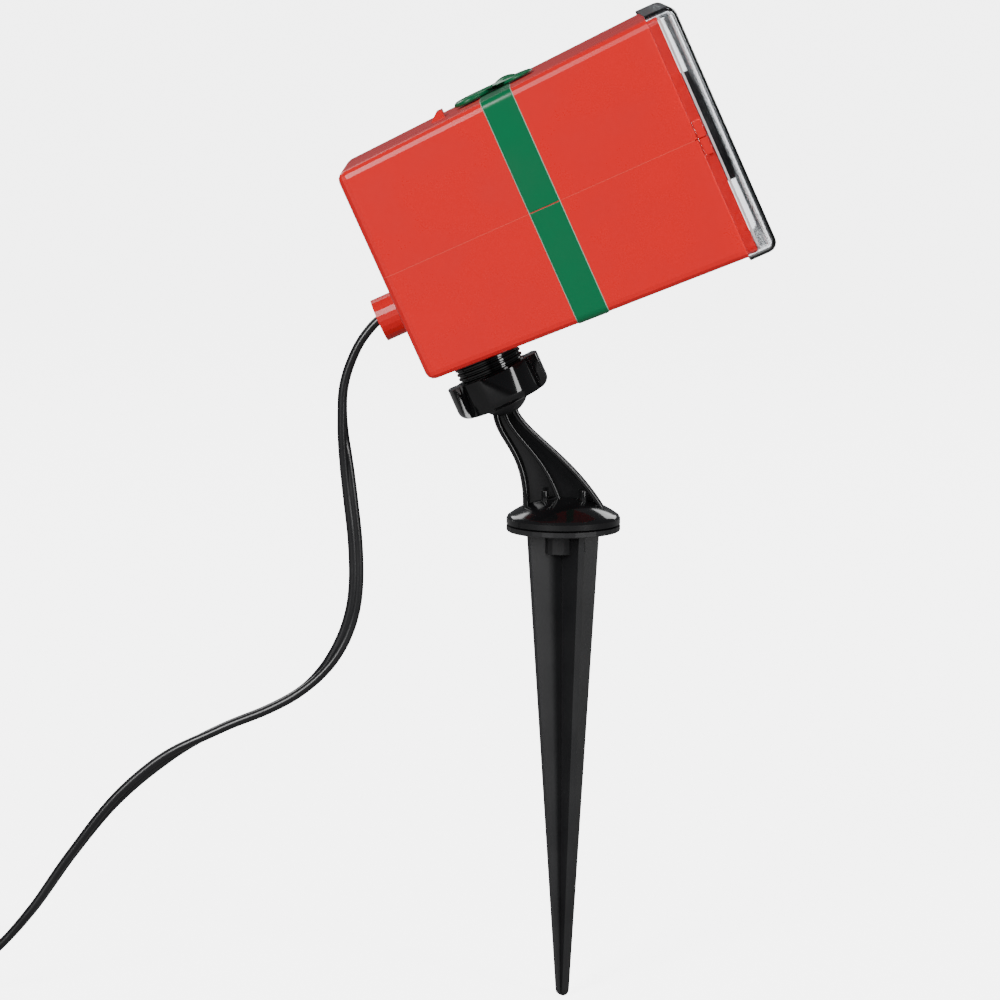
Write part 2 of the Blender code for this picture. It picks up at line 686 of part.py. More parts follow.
def build_lower_features(lower):
    bore_z = -BOSS_UNDER_SEAM
    boss = moved(cylinder(BOSS_RADIUS, -BOSS_LENGTH, WALL / 2, ROUND), ALONG_X)
    join(lower, moved(boss, at(0.0, 0.0, bore_z)))
    inner = moved(cylinder(GROMMET_RADIUS + GAP, -BOSS_LENGTH + BOSS_PLATE, WALL * 2, SMALL * 2), ALONG_X)
    cut(lower, moved(inner, at(0.0, 0.0, bore_z)))
    hole = cylinder(LEAD_HOLE_RADIUS, -BOSS_LENGTH - WALL, -BOSS_LENGTH + BOSS_PLATE * 2, SMALL)
    cut(lower, moved(moved(hole, ALONG_X), at(0.0, 0.0, bore_z)))
    cut(lower, moved(cylinder(COLLAR_RADIUS + GAP, -FRONT_HALF * 2, pad_top() + WALL, FINE),
                     at(SOCKET_FROM_BACK, 0.0, 0.0)))
    for angle in socket_screw_angles():
        x = SOCKET_FROM_BACK + socket_screw_circle() * math.cos(angle)
        y = socket_screw_circle() * math.sin(angle)
        point = pad_top() - SOCKET_SCREW_REACH - GAP
        cut(lower, moved(cylinder(SOCKET_SCREW_RADIUS + GAP, point, pad_top() + WALL, SMALL), at(x, y, 0.0)))


def socket_screw_angles():
    return [math.radians(45.0 + 90.0 * index) for index in range(4)]


def socket_screw_circle():
    return (COLLAR_RADIUS + COLLAR_FLANGE_RADIUS) / 2


def drum_gear_y():
    """Near face of the drum's gear, outside the drum's closed end."""
    return -DRUM_LENGTH / 2 - GAP - GEAR_WIDTH


def bracket_y():
    """Face of the gear bracket that looks at the gears."""
    return drum_gear_y() - BRACKET_CLEARANCE


def lamp_plate_x():
    return DRUM_FROM_BACK - LAMP_SETBACK


def lamp_post_y():
    return DRUM_LENGTH / 2 + LAMP_POST_CLEARANCE


def build_screws():
    made = []
    for index, (x, y) in enumerate(case_screw_places()):
        head_top = -CASE_SCREW_GRIP - GAP
        screw = turned([(0.0, head_top - SCREW_HEAD), (SCREW_HEAD_RADIUS * 0.8, head_top - SCREW_HEAD),
                        (SCREW_HEAD_RADIUS, head_top - SCREW_HEAD * 0.6), (SCREW_HEAD_RADIUS, head_top),
                        (CASE_SCREW_RADIUS, head_top), (CASE_SCREW_RADIUS, CASE_SCREW_REACH),
                        (0.0, CASE_SCREW_REACH + CASE_SCREW_RADIUS)], SMALL)
        made.append(node(f"case_screw_{index + 1}", moved(screw, at(x, y, 0.0)), STEEL))
    radius = SOCKET_SCREW_RADIUS
    for index, angle in enumerate(socket_screw_angles()):
        x = SOCKET_FROM_BACK + socket_screw_circle() * math.cos(angle)
        y = socket_screw_circle() * math.sin(angle)
        seat = pad_top() + GAP + COLLAR_FLANGE + GAP
        point = pad_top() - SOCKET_SCREW_REACH
        top = seat + SOCKET_SCREW_HEAD
        screw = turned([(0.0, point), (radius, point + radius / 2), (radius, seat), (radius * 2, seat),
                        (radius * 2, top), (0.0, top + GAP)], SMALL)
        made.append(node(f"socket_screw_{index + 1}", moved(screw, at(x, y, 0.0)), STEEL))
    return made


def build_ribbon():
    ribbon_end = RIBBON_FROM_BACK + RIBBON_WIDTH
    band = node("upper_ribbon", block((RIBBON_FROM_BACK, -1.0, -1.0), (ribbon_end, 1.0, 1.0)), GREEN)
    keep(band, tapered_box(0.0, HEAD_LENGTH, -RIBBON_PROUD, CORNER + RIBBON_PROUD))
    depth = RIBBON_THICKNESS - GAP
    cut(band, tapered_box(-WALL, HEAD_LENGTH + WALL, depth, CORNER - depth))
    lower = copy_of(band, "lower_ribbon")
    far = HEAD_LENGTH * 2
    keep(band, block((-far, -far, GAP / 2), (far, far, far)))
    keep(lower, block((-far, -far, -far), (far, far, -GAP / 2)))
    return band, lower


def bow_centre():
    return RIBBON_FROM_BACK + RIBBON_WIDTH / 2


def bow_surface(x):
    """Top of the box or of the ribbon, whichever is higher, with the usual gap."""
    return head_half(x) + RIBBON_PROUD + GAP


def build_bow():
    centre = bow_centre()
    lean = math.atan((FRONT_HALF - BACK_HALF) / HEAD_LENGTH)
    place = at(centre, 0.0, bow_surface(centre)) @ Matrix.Rotation(-lean, 4, "Y")
    loops = node("bow_loops", turned(sphere_profile(1.0, 0.0, math.pi, 8), 24), GREEN)
    half = BOW_LENGTH / 2
    for corner in loops.data.vertices:
        x, y, z = corner.co
        pinch = 0.34 + 0.66 * min(1.0, abs(x) * 1.9)
        lift = BOW_RISE * (0.28 + 0.40 * abs(x))
        corner.co = (x * half, y * BOW_WIDTH / 2 * pinch, lift + z * BOW_RISE * 0.30)
    join(loops, block((-BOW_FOOT[0], -BOW_FOOT[1], 0.0), (BOW_FOOT[0], BOW_FOOT[1], BOW_RISE * 0.4)))
    cut(loops, block((-BOW_LENGTH, -BOW_LENGTH, -BOW_RISE), (BOW_LENGTH, BOW_LENGTH, 0.0)))
    knot_seat = BOW_RISE * KNOT_SEAT
    knot = turned(sphere_profile(1.0, math.pi / 2, 0.0, 6), 24, closed=False)
    moved(knot, Matrix.Diagonal((KNOT_LENGTH / 2, KNOT_WIDTH / 2, KNOT_RISE - knot_seat, 1.0)))
    bmesh.ops.holes_fill(knot, edges=knot.edges)
    knot_object = node("bow_knot", moved(knot, at(KNOT_AHEAD, 0.0, knot_seat)), GREEN)
    boolean(knot_object, grown_copy(loops, GAP), "DIFFERENCE")
    for made in (loops, knot_object):
        made.data.transform(place)
    return loops, knot_object


def grown_copy(source, by):
    """A copy of a solid with its surface moved out along its normals."""
    helper = copy_of(source, "tool")
    offsets = [v.normal.copy() for v in helper.data.vertices]
    for corner, normal in zip(helper.data.vertices, offsets):
        corner.co += normal * by * 1.4
    return helper


def build_cover():
    start = HEAD_LENGTH - COVER_OVERLAP
    end = HEAD_LENGTH + COVER_DEPTH
    half = head_half(start) + COVER_PROUD
    shape = block((start, -half, -half), (end, half, half))
    rounded = [e for e in shape.edges if max(v.co.x for v in e.verts) > end - WALL]
    bmesh.ops.bevel(shape, geom=rounded, offset=COVER_EDGE, segments=4, profile=0.5, affect="EDGES")
    cover = node("front_cover", shape, CLEAR)
    inner = half - COVER_WALL
    hollow = block((start - WALL, -inner, -inner), (end - COVER_WALL, inner, inner))
    rounded = [e for e in hollow.edges if max(v.co.x for v in e.verts) > start]
    bmesh.ops.bevel(hollow, geom=rounded, offset=COVER_EDGE - COVER_WALL, segments=3,
                    profile=0.5, affect="EDGES")
    cut(cover, hollow)
    catch_at = start + (COVER_OVERLAP - CATCH_LENGTH) / 2
    catch_end = catch_at + CATCH_LENGTH
    window = block((catch_at - GAP, -1.0, -CATCH_HALF - GAP), (catch_end + GAP, 1.0, CATCH_HALF + GAP))
    cut(cover, window)
    return cover


def build_front():
    rim_step = COVER_WALL - COVER_PROUD + GAP
    rim = head_half(HEAD_LENGTH) - rim_step
    seal_x = HEAD_LENGTH + GAP
    seal = node("cover_seal", block((seal_x, -rim, -rim), (seal_x + SEAL_THICKNESS, rim, rim)), WHITE, False)
    keep(seal, tapered_box(0.0, HEAD_LENGTH * 1.1, rim_step + GAP, CORNER))
    cut(seal, tapered_box(0.0, HEAD_LENGTH * 1.2, rim_step + GAP + SEAL_WIDTH, CORNER - SEAL_WIDTH))
    mask_x = HEAD_LENGTH - LEDGE_FROM_FRONT + LEDGE + GAP
    mask_half = head_half(mask_x) - WALL - GAP
    plate = block((mask_x, -mask_half, -mask_half), (mask_x + MASK_THICKNESS, mask_half, mask_half))
    mask = node("front_mask", plate, DULL_BLACK, False)
    bore = moved(cylinder(BARREL_RADIUS + GAP, mask_x - WALL, mask_x + WALL * 2, FINE), ALONG_X)
    cut(mask, bore)
    front = HEAD_LENGTH + BARREL_PROUD
    back = front - BARREL_LENGTH
    inner = BARREL_RADIUS - BARREL_WALL
    flange = mask_x - GAP
    lens_at = front - LENS_FROM_FRONT
    seat = lens_at - LENS_EDGE / 2 - GAP
    flange_back = flange - BARREL_FLANGE_THICKNESS
    profile = [(inner - LENS_SEAT, back), (BARREL_RADIUS, back), (BARREL_RADIUS, flange_back),
               (BARREL_RADIUS + BARREL_FLANGE, flange_back), (BARREL_RADIUS + BARREL_FLANGE, flange),
               (BARREL_RADIUS, flange), (BARREL_RADIUS, front - BARREL_BEVEL),
               (BARREL_RADIUS - BARREL_BEVEL, front), (inner, front), (inner, seat),
               (inner - LENS_SEAT, seat)]
    barrel = node("lens_barrel", moved(turned(profile, FINE), ALONG_X), DULL_BLACK)
    lens_radius = inner - GAP
    bend = (lens_radius ** 2 + LENS_CROWN ** 2) / (2 * LENS_CROWN)
    reach = math.asin(lens_radius / bend)
    crown = [(r, z - bend + LENS_CROWN + LENS_EDGE / 2) for r, z in sphere_profile(bend, reach, 0.0, 6)]
    lens_profile = [(0.0, -LENS_EDGE / 2), (lens_radius, -LENS_EDGE / 2)] + crown
    glass = moved(turned(lens_profile, FINE), ALONG_X)
    lens = node("projection_lens", moved(glass, at(lens_at, 0.0, 0.0)), CLEAR)
    ring_back = lens_at + LENS_EDGE / 2 + GAP
    ring_front = ring_back + LENS_RING
    ring = turned([(inner - LENS_SEAT, ring_back), (inner - GAP, ring_back), (inner - GAP, ring_front),
                   (inner - LENS_SEAT, ring_front)], FINE)
    ring_object = node("lens_ring", moved(ring, ALONG_X), BLACK)
    boolean(ring_object, grown_copy(lens, GAP), "DIFFERENCE")
    return seal, mask, barrel, lens, ring_object


def gear_outline(teeth, module):
    pitch = module * teeth / 2
    points = []
    for index in range(teeth):
        middle = 2 * math.pi * index / teeth
        step = 2 * math.pi / teeth
        for share, radius in ((-0.27, pitch - module * 1.15), (-0.11, pitch + module * 0.75),
                              (0.11, pitch + module * 0.75), (0.27, pitch - module * 1.15)):
            angle = middle + step * share
            points.append((radius * math.cos(angle), radius * math.sin(angle)))
    return points


def build_drum():
    """Built about its own axis; y runs along the axis once it is turned."""
    half = DRUM_LENGTH / 2
    inner = DRUM_RADIUS - DRUM_WALL
    floor_y = -half + DRUM_WALL
    bore = SHAFT_RADIUS + GAP
    hub_end = floor_y + DRUM_HUB_LENGTH
    profile = [(bore, -half), (DRUM_RADIUS, -half), (DRUM_RADIUS, half), (inner, half), (inner, floor_y),
               (DRUM_HUB_RADIUS, floor_y), (DRUM_HUB_RADIUS, hub_end), (bore, hub_end)]
    drum = node("pattern_drum", moved(turned(profile, DRUM_SECTORS), ALONG_Y), DULL_BLACK)
    row_height = (DRUM_LENGTH - DRUM_WALL * 3) / DRUM_ROWS
    cutters = []
    for row in range(1, DRUM_ROWS, 2):
        low = -half + DRUM_WALL * 2 + row_height * (row - 0.15)
        cutters.append((low, row_height * 0.55, (row // 2) * 0.5))
    for low, height, shift in cutters:
        for sector in range(DRUM_WINDOWS):
            angle = 2 * math.pi * (sector + shift) / DRUM_WINDOWS
            window = block((inner - WALL, low, -DRUM_WINDOW_HALF),
                           (DRUM_RADIUS + WALL, low + height, DRUM_WINDOW_HALF))
            cut(drum, moved(window, Matrix.Rotation(angle, 4, "Y")))
    gear = prism(gear_outline(DRUM_TEETH, GEAR_MODULE), drum_gear_y(), drum_gear_y() + GEAR_WIDTH)
    gear_object = node("drum_gear", moved(gear, GEAR_TURN), WHITE, False)
    cut(gear_object, moved(cylinder(bore, drum_gear_y() - WALL, -half + WALL, SMALL), ALONG_Y))
    place = (DRUM_FROM_BACK, 0.0, DRUM_OVER_SEAM)
    drum.location = place
    gear_object.location = place
    return drum, gear_object


def gear_centres():
    return GEAR_MODULE * (DRUM_TEETH + PINION_TEETH) / 2 + GEAR_FREE_PLAY


def build_drive():
    plate_back = bracket_y() - BRACKET_THICKNESS
    motor_x = DRUM_FROM_BACK - gear_centres()
    shaft_low = plate_back - SHAFT_RADIUS / 2
    shaft_end = -DRUM_LENGTH / 2 + DRUM_WALL + DRUM_HUB_LENGTH + GAP * 2
    shaft = moved(cylinder(SHAFT_RADIUS, shaft_low, shaft_end, SMALL), ALONG_Y)
    shaft_object = node("drum_shaft", moved(shaft, at(DRUM_FROM_BACK, 0.0, DRUM_OVER_SEAM)), STEEL)
    foot = floor_at(motor_x) + BRACKET_THICKNESS
    plate = block((motor_x - BRACKET_PAST_MOTOR, plate_back, foot),
                  (DRUM_FROM_BACK + BRACKET_PAST_DRUM, bracket_y(), DRUM_OVER_SEAM + BRACKET_RISE))
    bracket = node("gear_bracket", plate, STEEL, False)
    shaft_hole = cylinder(SHAFT_RADIUS + GAP, plate_back - WALL, bracket_y() + WALL, SMALL)
    cut(bracket, moved(moved(shaft_hole, ALONG_Y), at(DRUM_FROM_BACK, 0.0, DRUM_OVER_SEAM)))
    nose_hole = cylinder(MOTOR_NOSE * 1.2, plate_back - WALL, bracket_y() + WALL, ROUND)
    cut(bracket, moved(moved(nose_hole, ALONG_Y), at(motor_x, 0.0, DRUM_OVER_SEAM)))
    motor_front = plate_back - GAP
    can = turned([(0.0, motor_front - MOTOR_LENGTH), (MOTOR_RADIUS, motor_front - MOTOR_LENGTH),
                  (MOTOR_RADIUS, motor_front), (MOTOR_NOSE, motor_front), (MOTOR_NOSE, bracket_y()),
                  (SHAFT_RADIUS * 0.7, bracket_y()), (SHAFT_RADIUS * 0.7, drum_gear_y() + GEAR_WIDTH),
                  (0.0, drum_gear_y() + GEAR_WIDTH)], ROUND)
    motor = node("gear_motor", moved(moved(can, ALONG_Y), at(motor_x, 0.0, DRUM_OVER_SEAM)), STEEL)
    pinion = prism(gear_outline(PINION_TEETH, GEAR_MODULE), drum_gear_y(), drum_gear_y() + GEAR_WIDTH)
    half_tooth = Matrix.Rotation(math.pi / PINION_TEETH, 4, "Y")
    pinion_object = node("motor_pinion", moved(pinion, half_tooth @ GEAR_TURN), BRASS, False)
    bore = cylinder(SHAFT_RADIUS * 0.7 + GAP, drum_gear_y() - WALL, -DRUM_LENGTH / 2 + WALL, SMALL)
    cut(pinion_object, moved(bore, ALONG_Y))
    pinion_object.location = (motor_x, 0.0, DRUM_OVER_SEAM)
    return shaft_object, bracket, motor, pinion_object


def build_lamp():
    plate_x = lamp_plate_x()
    post_y = lamp_post_y()
    foot = floor_at(plate_x) + GAP
    plate_top = DRUM_OVER_SEAM + LAMP_BOARD / 2
    plate = block((plate_x - LAMP_PLATE, -LAMP_BOARD / 2, plate_top - LAMP_BOARD),
                  (plate_x, post_y + LAMP_PLATE, plate_top))
    bracket = node("led_bracket", plate, STEEL, False)
    join(bracket, block((plate_x - LAMP_PLATE - LAMP_ARM[0], post_y, foot),
                        (plate_x + LAMP_ARM[1], post_y + LAMP_PLATE, plate_top)))
    board_x = plate_x + GAP
    half = LAMP_BOARD / 2 - GAP
    board_front = board_x + LAMP_BOARD_THICKNESS
    slab = block((board_x, -half, DRUM_OVER_SEAM - half), (board_front, half, DRUM_OVER_SEAM + half))
    board = node("led_board", slab, WHITE, False)
    chip_x = board_front + GAP
    chip = node("led_chip", block((chip_x, -CHIP_SIZE / 2, DRUM_OVER_SEAM - CHIP_SIZE / 2),
                                  (chip_x + CHIP_THICKNESS, CHIP_SIZE / 2, DRUM_OVER_SEAM + CHIP_SIZE / 2)),
                ((0.9, 0.75, 0.25), 0.4), False)
    holder_back = chip_x
    holder_front = holder_back + HOLDER_LENGTH
    step = holder_back + HOLDER_LENGTH / 2
    inner = CONDENSER_RADIUS + GAP
    seat = inner - HOLDER_WALL / 2
    outer = inner + HOLDER_WALL
    holder = turned([(seat, holder_back), (outer, holder_back), (outer, holder_front),
                     (inner, holder_front), (inner, step), (seat, step)], ROUND)
    moved(moved(holder, ALONG_X), at(0.0, 0.0, DRUM_OVER_SEAM))
    holder_object = node("condenser_holder", holder, DULL_BLACK)
    lens_back = step + GAP
    crown_foot = lens_back + CONDENSER_LAND + CONDENSER_CROWN
    bend = (CONDENSER_RADIUS ** 2 + CONDENSER_CROWN ** 2) / (2 * CONDENSER_CROWN)
    reach = math.asin(CONDENSER_RADIUS / bend)
    crown = [(r, crown_foot + z - bend) for r, z in sphere_profile(bend, reach, 0.0, 5)]
    lens = turned([(0.0, lens_back), (CONDENSER_RADIUS, lens_back)] + crown, ROUND)
    lens_object = node("condenser_lens", moved(moved(lens, ALONG_X), at(0.0, 0.0, DRUM_OVER_SEAM)), CLEAR)
    return bracket, board, chip, holder_object, lens_object


def build_driver():
    start = DRIVER_FROM_BACK
    low = -DRIVER_UNDER_SEAM - DRIVER_BOARD[2] / 2
    high = low + DRIVER_BOARD[2]
    half = DRIVER_BOARD[1] / 2
    slab = block((start, -half, low), (start + DRIVER_BOARD[0], half, high))
    board = node("driver_board", slab, BOARD, False)
    rest = high + GAP
    can = cylinder(CAPACITOR_RADIUS, rest, rest + CAPACITOR_LENGTH, ROUND)
    moved(can, at(start + CAPACITOR_RADIUS * 2, half - CAPACITOR_PLACE, 0.0))
    capacitor = node("driver_capacitor", can, ((0.05, 0.06, 0.12), 0.3))
    low_corner = Vector((start + TRANSFORMER_PLACE[0], -half + TRANSFORMER_PLACE[1], rest))
    core = soft_block(low_corner, low_corner + Vector(TRANSFORMER), SMALL_EDGE, 1)
    transformer = node("driver_transformer", core, ((0.55, 0.45, 0.12), 0.5), False)
    (near_x, far_x), (near_y, far_y) = TERMINAL
    box = soft_block((start + near_x, near_y, rest), (start + far_x, far_y, rest + TERMINAL_HEIGHT),
                     SMALL_EDGE, 1)
    terminal = node("terminal_block", box, ((0.05, 0.2, 0.1), 0.5), False)
    return board, capacitor, transformer, terminal


def build_lead_entry():
    z = -BOSS_UNDER_SEAM
    back = -BOSS_LENGTH + BOSS_PLATE + GAP
    front = back + GROMMET_LENGTH
    bore = LEAD_DIAMETER / 2 + GAP
    profile = [(bore, back), (GROMMET_RADIUS, back), (GROMMET_RADIUS, WALL + GAP),
               (GROMMET_FLANGE, WALL + GAP), (GROMMET_FLANGE, front + WALL), (bore, front + WALL)]
    sleeve = moved(turned(profile, SMALL * 2), ALONG_X)
    grommet = node("lead_grommet", moved(sleeve, at(0.0, 0.0, z)), DULL_BLACK)
    lead_end = DRIVER_FROM_BACK + TERMINAL[0][0] - GAP
    inner = moved(moved(cylinder(LEAD_DIAMETER / 2, back + GAP, lead_end, SMALL), ALONG_X), at(0.0, 0.0, z))
    inner_lead = node("inner_lead", inner, DULL_BLACK)
    over = z + LEAD_DIAMETER / 2 + GAP
    post_top = z - LEAD_DIAMETER / 2 - GAP
    clamp_end = CLAMP_FROM_BACK + CLAMP_WIDTH / 2
    clamp = node("lead_clamp", block((clamp_end - CLAMP_WIDTH, -CLAMP_HALF, post_top + GAP),
                                     (clamp_end, CLAMP_HALF, over + CLAMP_ROOF)), BLACK, False)
    cut(clamp, block((0.0, -bore, post_top - WALL), (HEAD_LENGTH, bore, over)))
    return grommet, inner_lead, clamp


def build_socket():
    """The threaded collar, fixed in the lower shell; written about the ball's centre."""
    cup = BALL_RADIUS + PAD_THICKNESS + GAP * 2
    seat = pad_top() - ball_in_head.z + GAP
    foot_angle = math.acos(COLLAR_FOOT / cup)
    inside = sphere_profile(cup, foot_angle, 0.0, 6)
    flange_top = seat + COLLAR_FLANGE
    rim = COLLAR_FLANGE_RADIUS - GAP
    outside = [(0.0, flange_top), (rim, flange_top), (rim, seat), (COLLAR_RADIUS, seat)]
    shell_foot = BALL_DROP - (FRONT_HALF - BACK_HALF) * COLLAR_RADIUS / HEAD_LENGTH - WALL / 2
    z = shell_foot
    while z > COLLAR_FOOT + THREAD_PITCH:
        outside.append((COLLAR_RADIUS, z))
        outside.append((COLLAR_RADIUS - THREAD_DEPTH, z - THREAD_PITCH * 0.45))
        outside.append((COLLAR_RADIUS - THREAD_DEPTH, z - THREAD_PITCH * 0.55))
        z -= THREAD_PITCH
    outside.append((COLLAR_RADIUS - THREAD_DEPTH, COLLAR_FOOT))
    socket = node("ball_socket", turned(outside + inside, ROUND), BLACK)
    for angle in socket_screw_angles():
        x = socket_screw_circle() * math.cos(angle)
        y = socket_screw_circle() * math.sin(angle)
        hole = cylinder(SOCKET_SCREW_RADIUS + GAP, seat - WALL, flange_top + WALL, SMALL)
        cut(socket, moved(hole, at(x, y, 0.0)))
    socket.location = ball_in_head
    return socket


def knob_outline():
    """Lobes joined by hollows, as one closed outline about the axis."""
    lobe_half = math.asin(KNOB_LOBE_WIDTH / 2 / KNOB_RADIUS)
    points = []
    for lobe in range(KNOB_LOBES):
        middle = KNOB_TURN - math.pi / 2 + 2 * math.pi * lobe / KNOB_LOBES
        following = middle + 2 * math.pi / KNOB_LOBES
        for share in (-1.0, -0.84, -0.5, 0.0, 0.5, 0.84, 1.0):
            radius = KNOB_RADIUS - (KNOB_RADIUS - KNOB_BODY_RADIUS) * 0.34 * max(0.0, abs(share) - 0.8) / 0.2
            points.append((radius, middle + lobe_half * share))
        valley = (following - lobe_half) - (middle + lobe_half)
        for share in (0.16, 0.32, 0.5, 0.68, 0.84):
            points.append((KNOB_BODY_RADIUS, middle + lobe_half + valley * share))
    return [(r * math.cos(a), r * math.sin(a)) for r, a in points]


def build_knob():
    low = KNOB_TOP - KNOB_HEIGHT
    shape = prism(knob_outline(), low, KNOB_TOP)
    foot_face = [f for f in shape.faces if f.normal.z < -0.9]
    bottom = [e for e in foot_face[0].edges]
    bmesh.ops.bevel(shape, geom=bottom, offset=KNOB_EDGE * 0.35, segments=3, profile=0.5, affect="EDGES")
    knob = node("clamp_knob", shape, BLACK)
    cup = BALL_RADIUS + PAD_THICKNESS + GAP * 2
    bore = COLLAR_RADIUS + GAP
    shelf = COLLAR_FOOT - 0.0008
    lip_top = low + KNOB_LIP
    seat_top = math.acos(shelf / cup)
    seat_foot = math.acos(lip_top / cup)
    inside = [(0.0, KNOB_TOP + WALL), (bore, KNOB_TOP + WALL), (bore, shelf)]
    inside += sphere_profile(cup, seat_top, seat_foot, 4)
    inside += [(KNOB_OPENING, lip_top), (KNOB_OPENING, low - WALL), (0.0, low - WALL)]
    cut(knob, turned(inside, FINE))
    knob.location = ball_in_head
    return knob


def build_ball_fittings():
    inner = BALL_RADIUS + GAP
    outer = inner + PAD_THICKNESS
    steps = 5
    pad_profile = sphere_profile(outer, 0.0, PAD_REACH, steps) + sphere_profile(inner, PAD_REACH, 0.0, steps)
    pad = node("ball_pad", turned(pad_profile, ROUND), WHITE)
    pad.location = ball_centre
    pad.rotation_euler = (0.0, -NECK_LEAN, 0.0)
    ring_profile = sphere_profile(outer, RING_TOP, RING_FOOT, 3)
    ring_profile += sphere_profile(inner, RING_FOOT, RING_TOP, 3)
    ring = node("ball_ring", turned(ring_profile, ROUND), WHITE)
    ring.location = ball_centre
    ring.rotation_euler = (0.0, -HEAD_TILT, 0.0)
    return pad, ring


def smooth_route(points, spacing):
    """Points read at even spacing from a smooth curve through the route's own points."""
    dense = []
    last = len(points) - 1
    for index in range(last):
        before = points[max(index - 1, 0)]
        a = points[index]
        b = points[index + 1]
        after = points[min(index + 2, last)]
        for part in range(12):
            t = part / 12
            dense.append(0.5 * ((2 * a) + (b - before) * t + (2 * before - 5 * a + 4 * b - after) * t * t
                                + (3 * a - before - 3 * b + after) * t ** 3))
    dense.append(points[-1])
    total = sum((q - p).length for p, q in zip(dense, dense[1:]))
    count = max(2, round(total / spacing))
    wanted = [total * index / count for index in range(count + 1)]
    even = [dense[0]]
    run = 0.0
    target = 1
    for p, q in zip(dense, dense[1:]):
        length = (q - p).length
        while target < count and run + length >= wanted[target]:
            even.append(p.lerp(q, (wanted[target] - run) / length))
            target += 1
        run += length
    even.append(dense[-1])
    return even, total


def tube(name, points, radius, resolution, look):
    curve = bpy.data.curves.new(name, "CURVE")
    curve.dimensions = "3D"
    curve.bevel_depth = radius
    curve.bevel_resolution = resolution
    curve.use_fill_caps = True
    spline = curve.splines.new("POLY")
    spline.points.add(len(points) - 1)
    for slot, point in zip(spline.points, points):
        slot.co = (*point, 1.0)
    made = bpy.data.objects.new(name, curve)
    curve.materials.append(material(name, *look))
    scene_collection.objects.link(made)
    return made


def coil_points():
    """Centre line of the wound lead: in and out again, a layer higher at each reverse."""
    turns = COIL_LAYERS * COIL_TURNS_PER_LAYER
    steps = round((turns + COIL_EXTRA_TURN) * COIL_POINTS)
    points = []
    for step in range(steps + 1):
        t = step / COIL_POINTS
        layer = min(int(t / COIL_TURNS_PER_LAYER), COIL_LAYERS - 1)
        within = t - layer * COIL_TURNS_PER_LAYER
        drawn = COIL_PITCH * within
        radius = COIL_OUTER - drawn
        if layer % 2 == 1:
            radius = COIL_OUTER - COIL_PITCH * COIL_TURNS_PER_LAYER + drawn
        radius += COIL_RELEASE * max(0.0, t - turns) / COIL_EXTRA_TURN
        height = 0.0
        for change in range(1, COIL_LAYERS):
            share = (t - change * COIL_TURNS_PER_LAYER) / 0.5 + 0.5
            share = min(1.0, max(0.0, share))
            height += COIL_PITCH * share * share * (3 - 2 * share)
        angle = -math.pi / 2 - 2 * math.pi * t
        x = COIL_CENTRE.x + radius * math.cos(angle)
        y = COIL_CENTRE.y + radius * math.sin(angle)
        points.append(Vector((x, y, COIL_BASE + height)))
    return points


def least_gap(points, diameter, apart):
    """Smallest free space between stretches of one line, measured on its points."""
    least = 1.0
    for index, point in enumerate(points):
        for other in points[index + apart:]:
            least = min(least, (other - point).length)
    return least - diameter


def build_lead():
    down_u = head_turn.to_3x3() @ Vector((-1.0, 0.0, 0.0))
    grommet_face = -BOSS_LENGTH + BOSS_PLATE + GAP
    start = head_place @ Vector((grommet_face - GAP, 0.0, -BOSS_UNDER_SEAM))
    leave = head_place @ Vector((-BOSS_LENGTH - 0.0010, 0.0, -BOSS_UNDER_SEAM))
    route = [start, leave] + [Vector(p) for p in LEAD_ROUTE]
    wound = coil_points()
    lead_in = LEAD_DIAMETER
    join_x = wound[0].x + lead_in
    route.append(Vector((join_x + GAP, wound[0].y, COIL_BASE)))
    even, free_length = smooth_route(route, LEAD_DIAMETER * 1.5)
    even[1] = start + down_u * (even[1] - start).length
    even[-2] = even[-1] + Vector(((even[-2] - even[-1]).length, 0.0, 0.0))
    free = tube("lead_free", even, LEAD_DIAMETER / 2, 2, DULL_BLACK)
    out = wound[-1]
    heading = (wound[-1] - wound[-2]).normalized()
    heading.z = 0.0
    plug_end = out + heading * TAIL_DROP_RUN
    plug_end.z = PLUG_AXIS
    ease = heading * TAIL_DROP_RUN * 0.42
    tail = bezier((out, out + ease, plug_end - ease, plug_end), 8)
    straight = [Vector((join_x, wound[0].y, COIL_BASE))]
    line = straight + wound + tail[1:] + [plug_end + heading * LEAD_DIAMETER]
    coil = tube("lead_coil", line, LEAD_DIAMETER / 2, 1, DULL_BLACK)
    coil_length = sum((q - p).length for p, q in zip(line, line[1:]))
    print(f"coil gap to itself {least_gap(wound, LEAD_DIAMETER, COIL_POINTS // 2) * 1000:.2f} mm")
    print(f"lead length outside the head {free_length + coil_length:.3f} m, free part {free_length:.3f} m")
    return free, coil, line[-1], heading


def build_plug(end, heading):
    turn = Matrix.Rotation(math.atan2(heading.y, heading.x), 4, "Z")
    place = Matrix.Translation((end.x, end.y, PLUG_AXIS)) @ turn
    body = soft_block((GAP, -PLUG[0] / 2, -PLUG[2] / 2), (GAP + PLUG[1], PLUG[0] / 2, PLUG[2] / 2),
                      PLUG_EDGE, 3)
    plug = node("plug_body", body, DULL_BLACK)
    blades = []
    for name, side in (("plug_blade_left", -1), ("plug_blade_right", 1)):
        y = side * BLADE_SPACING / 2
        front = GAP + PLUG[1]
        back = front + GAP
        blade = soft_block((back, y - BLADE[2] / 2, -BLADE[0] / 2),
                           (back + BLADE[1], y + BLADE[2] / 2, BLADE[0] / 2), SMALL_EDGE, 1)
        made = node(name, blade, BRASS, False)
        made.matrix_world = place
        blades.append(made)
    plug.matrix_world = place
    return plug, blades


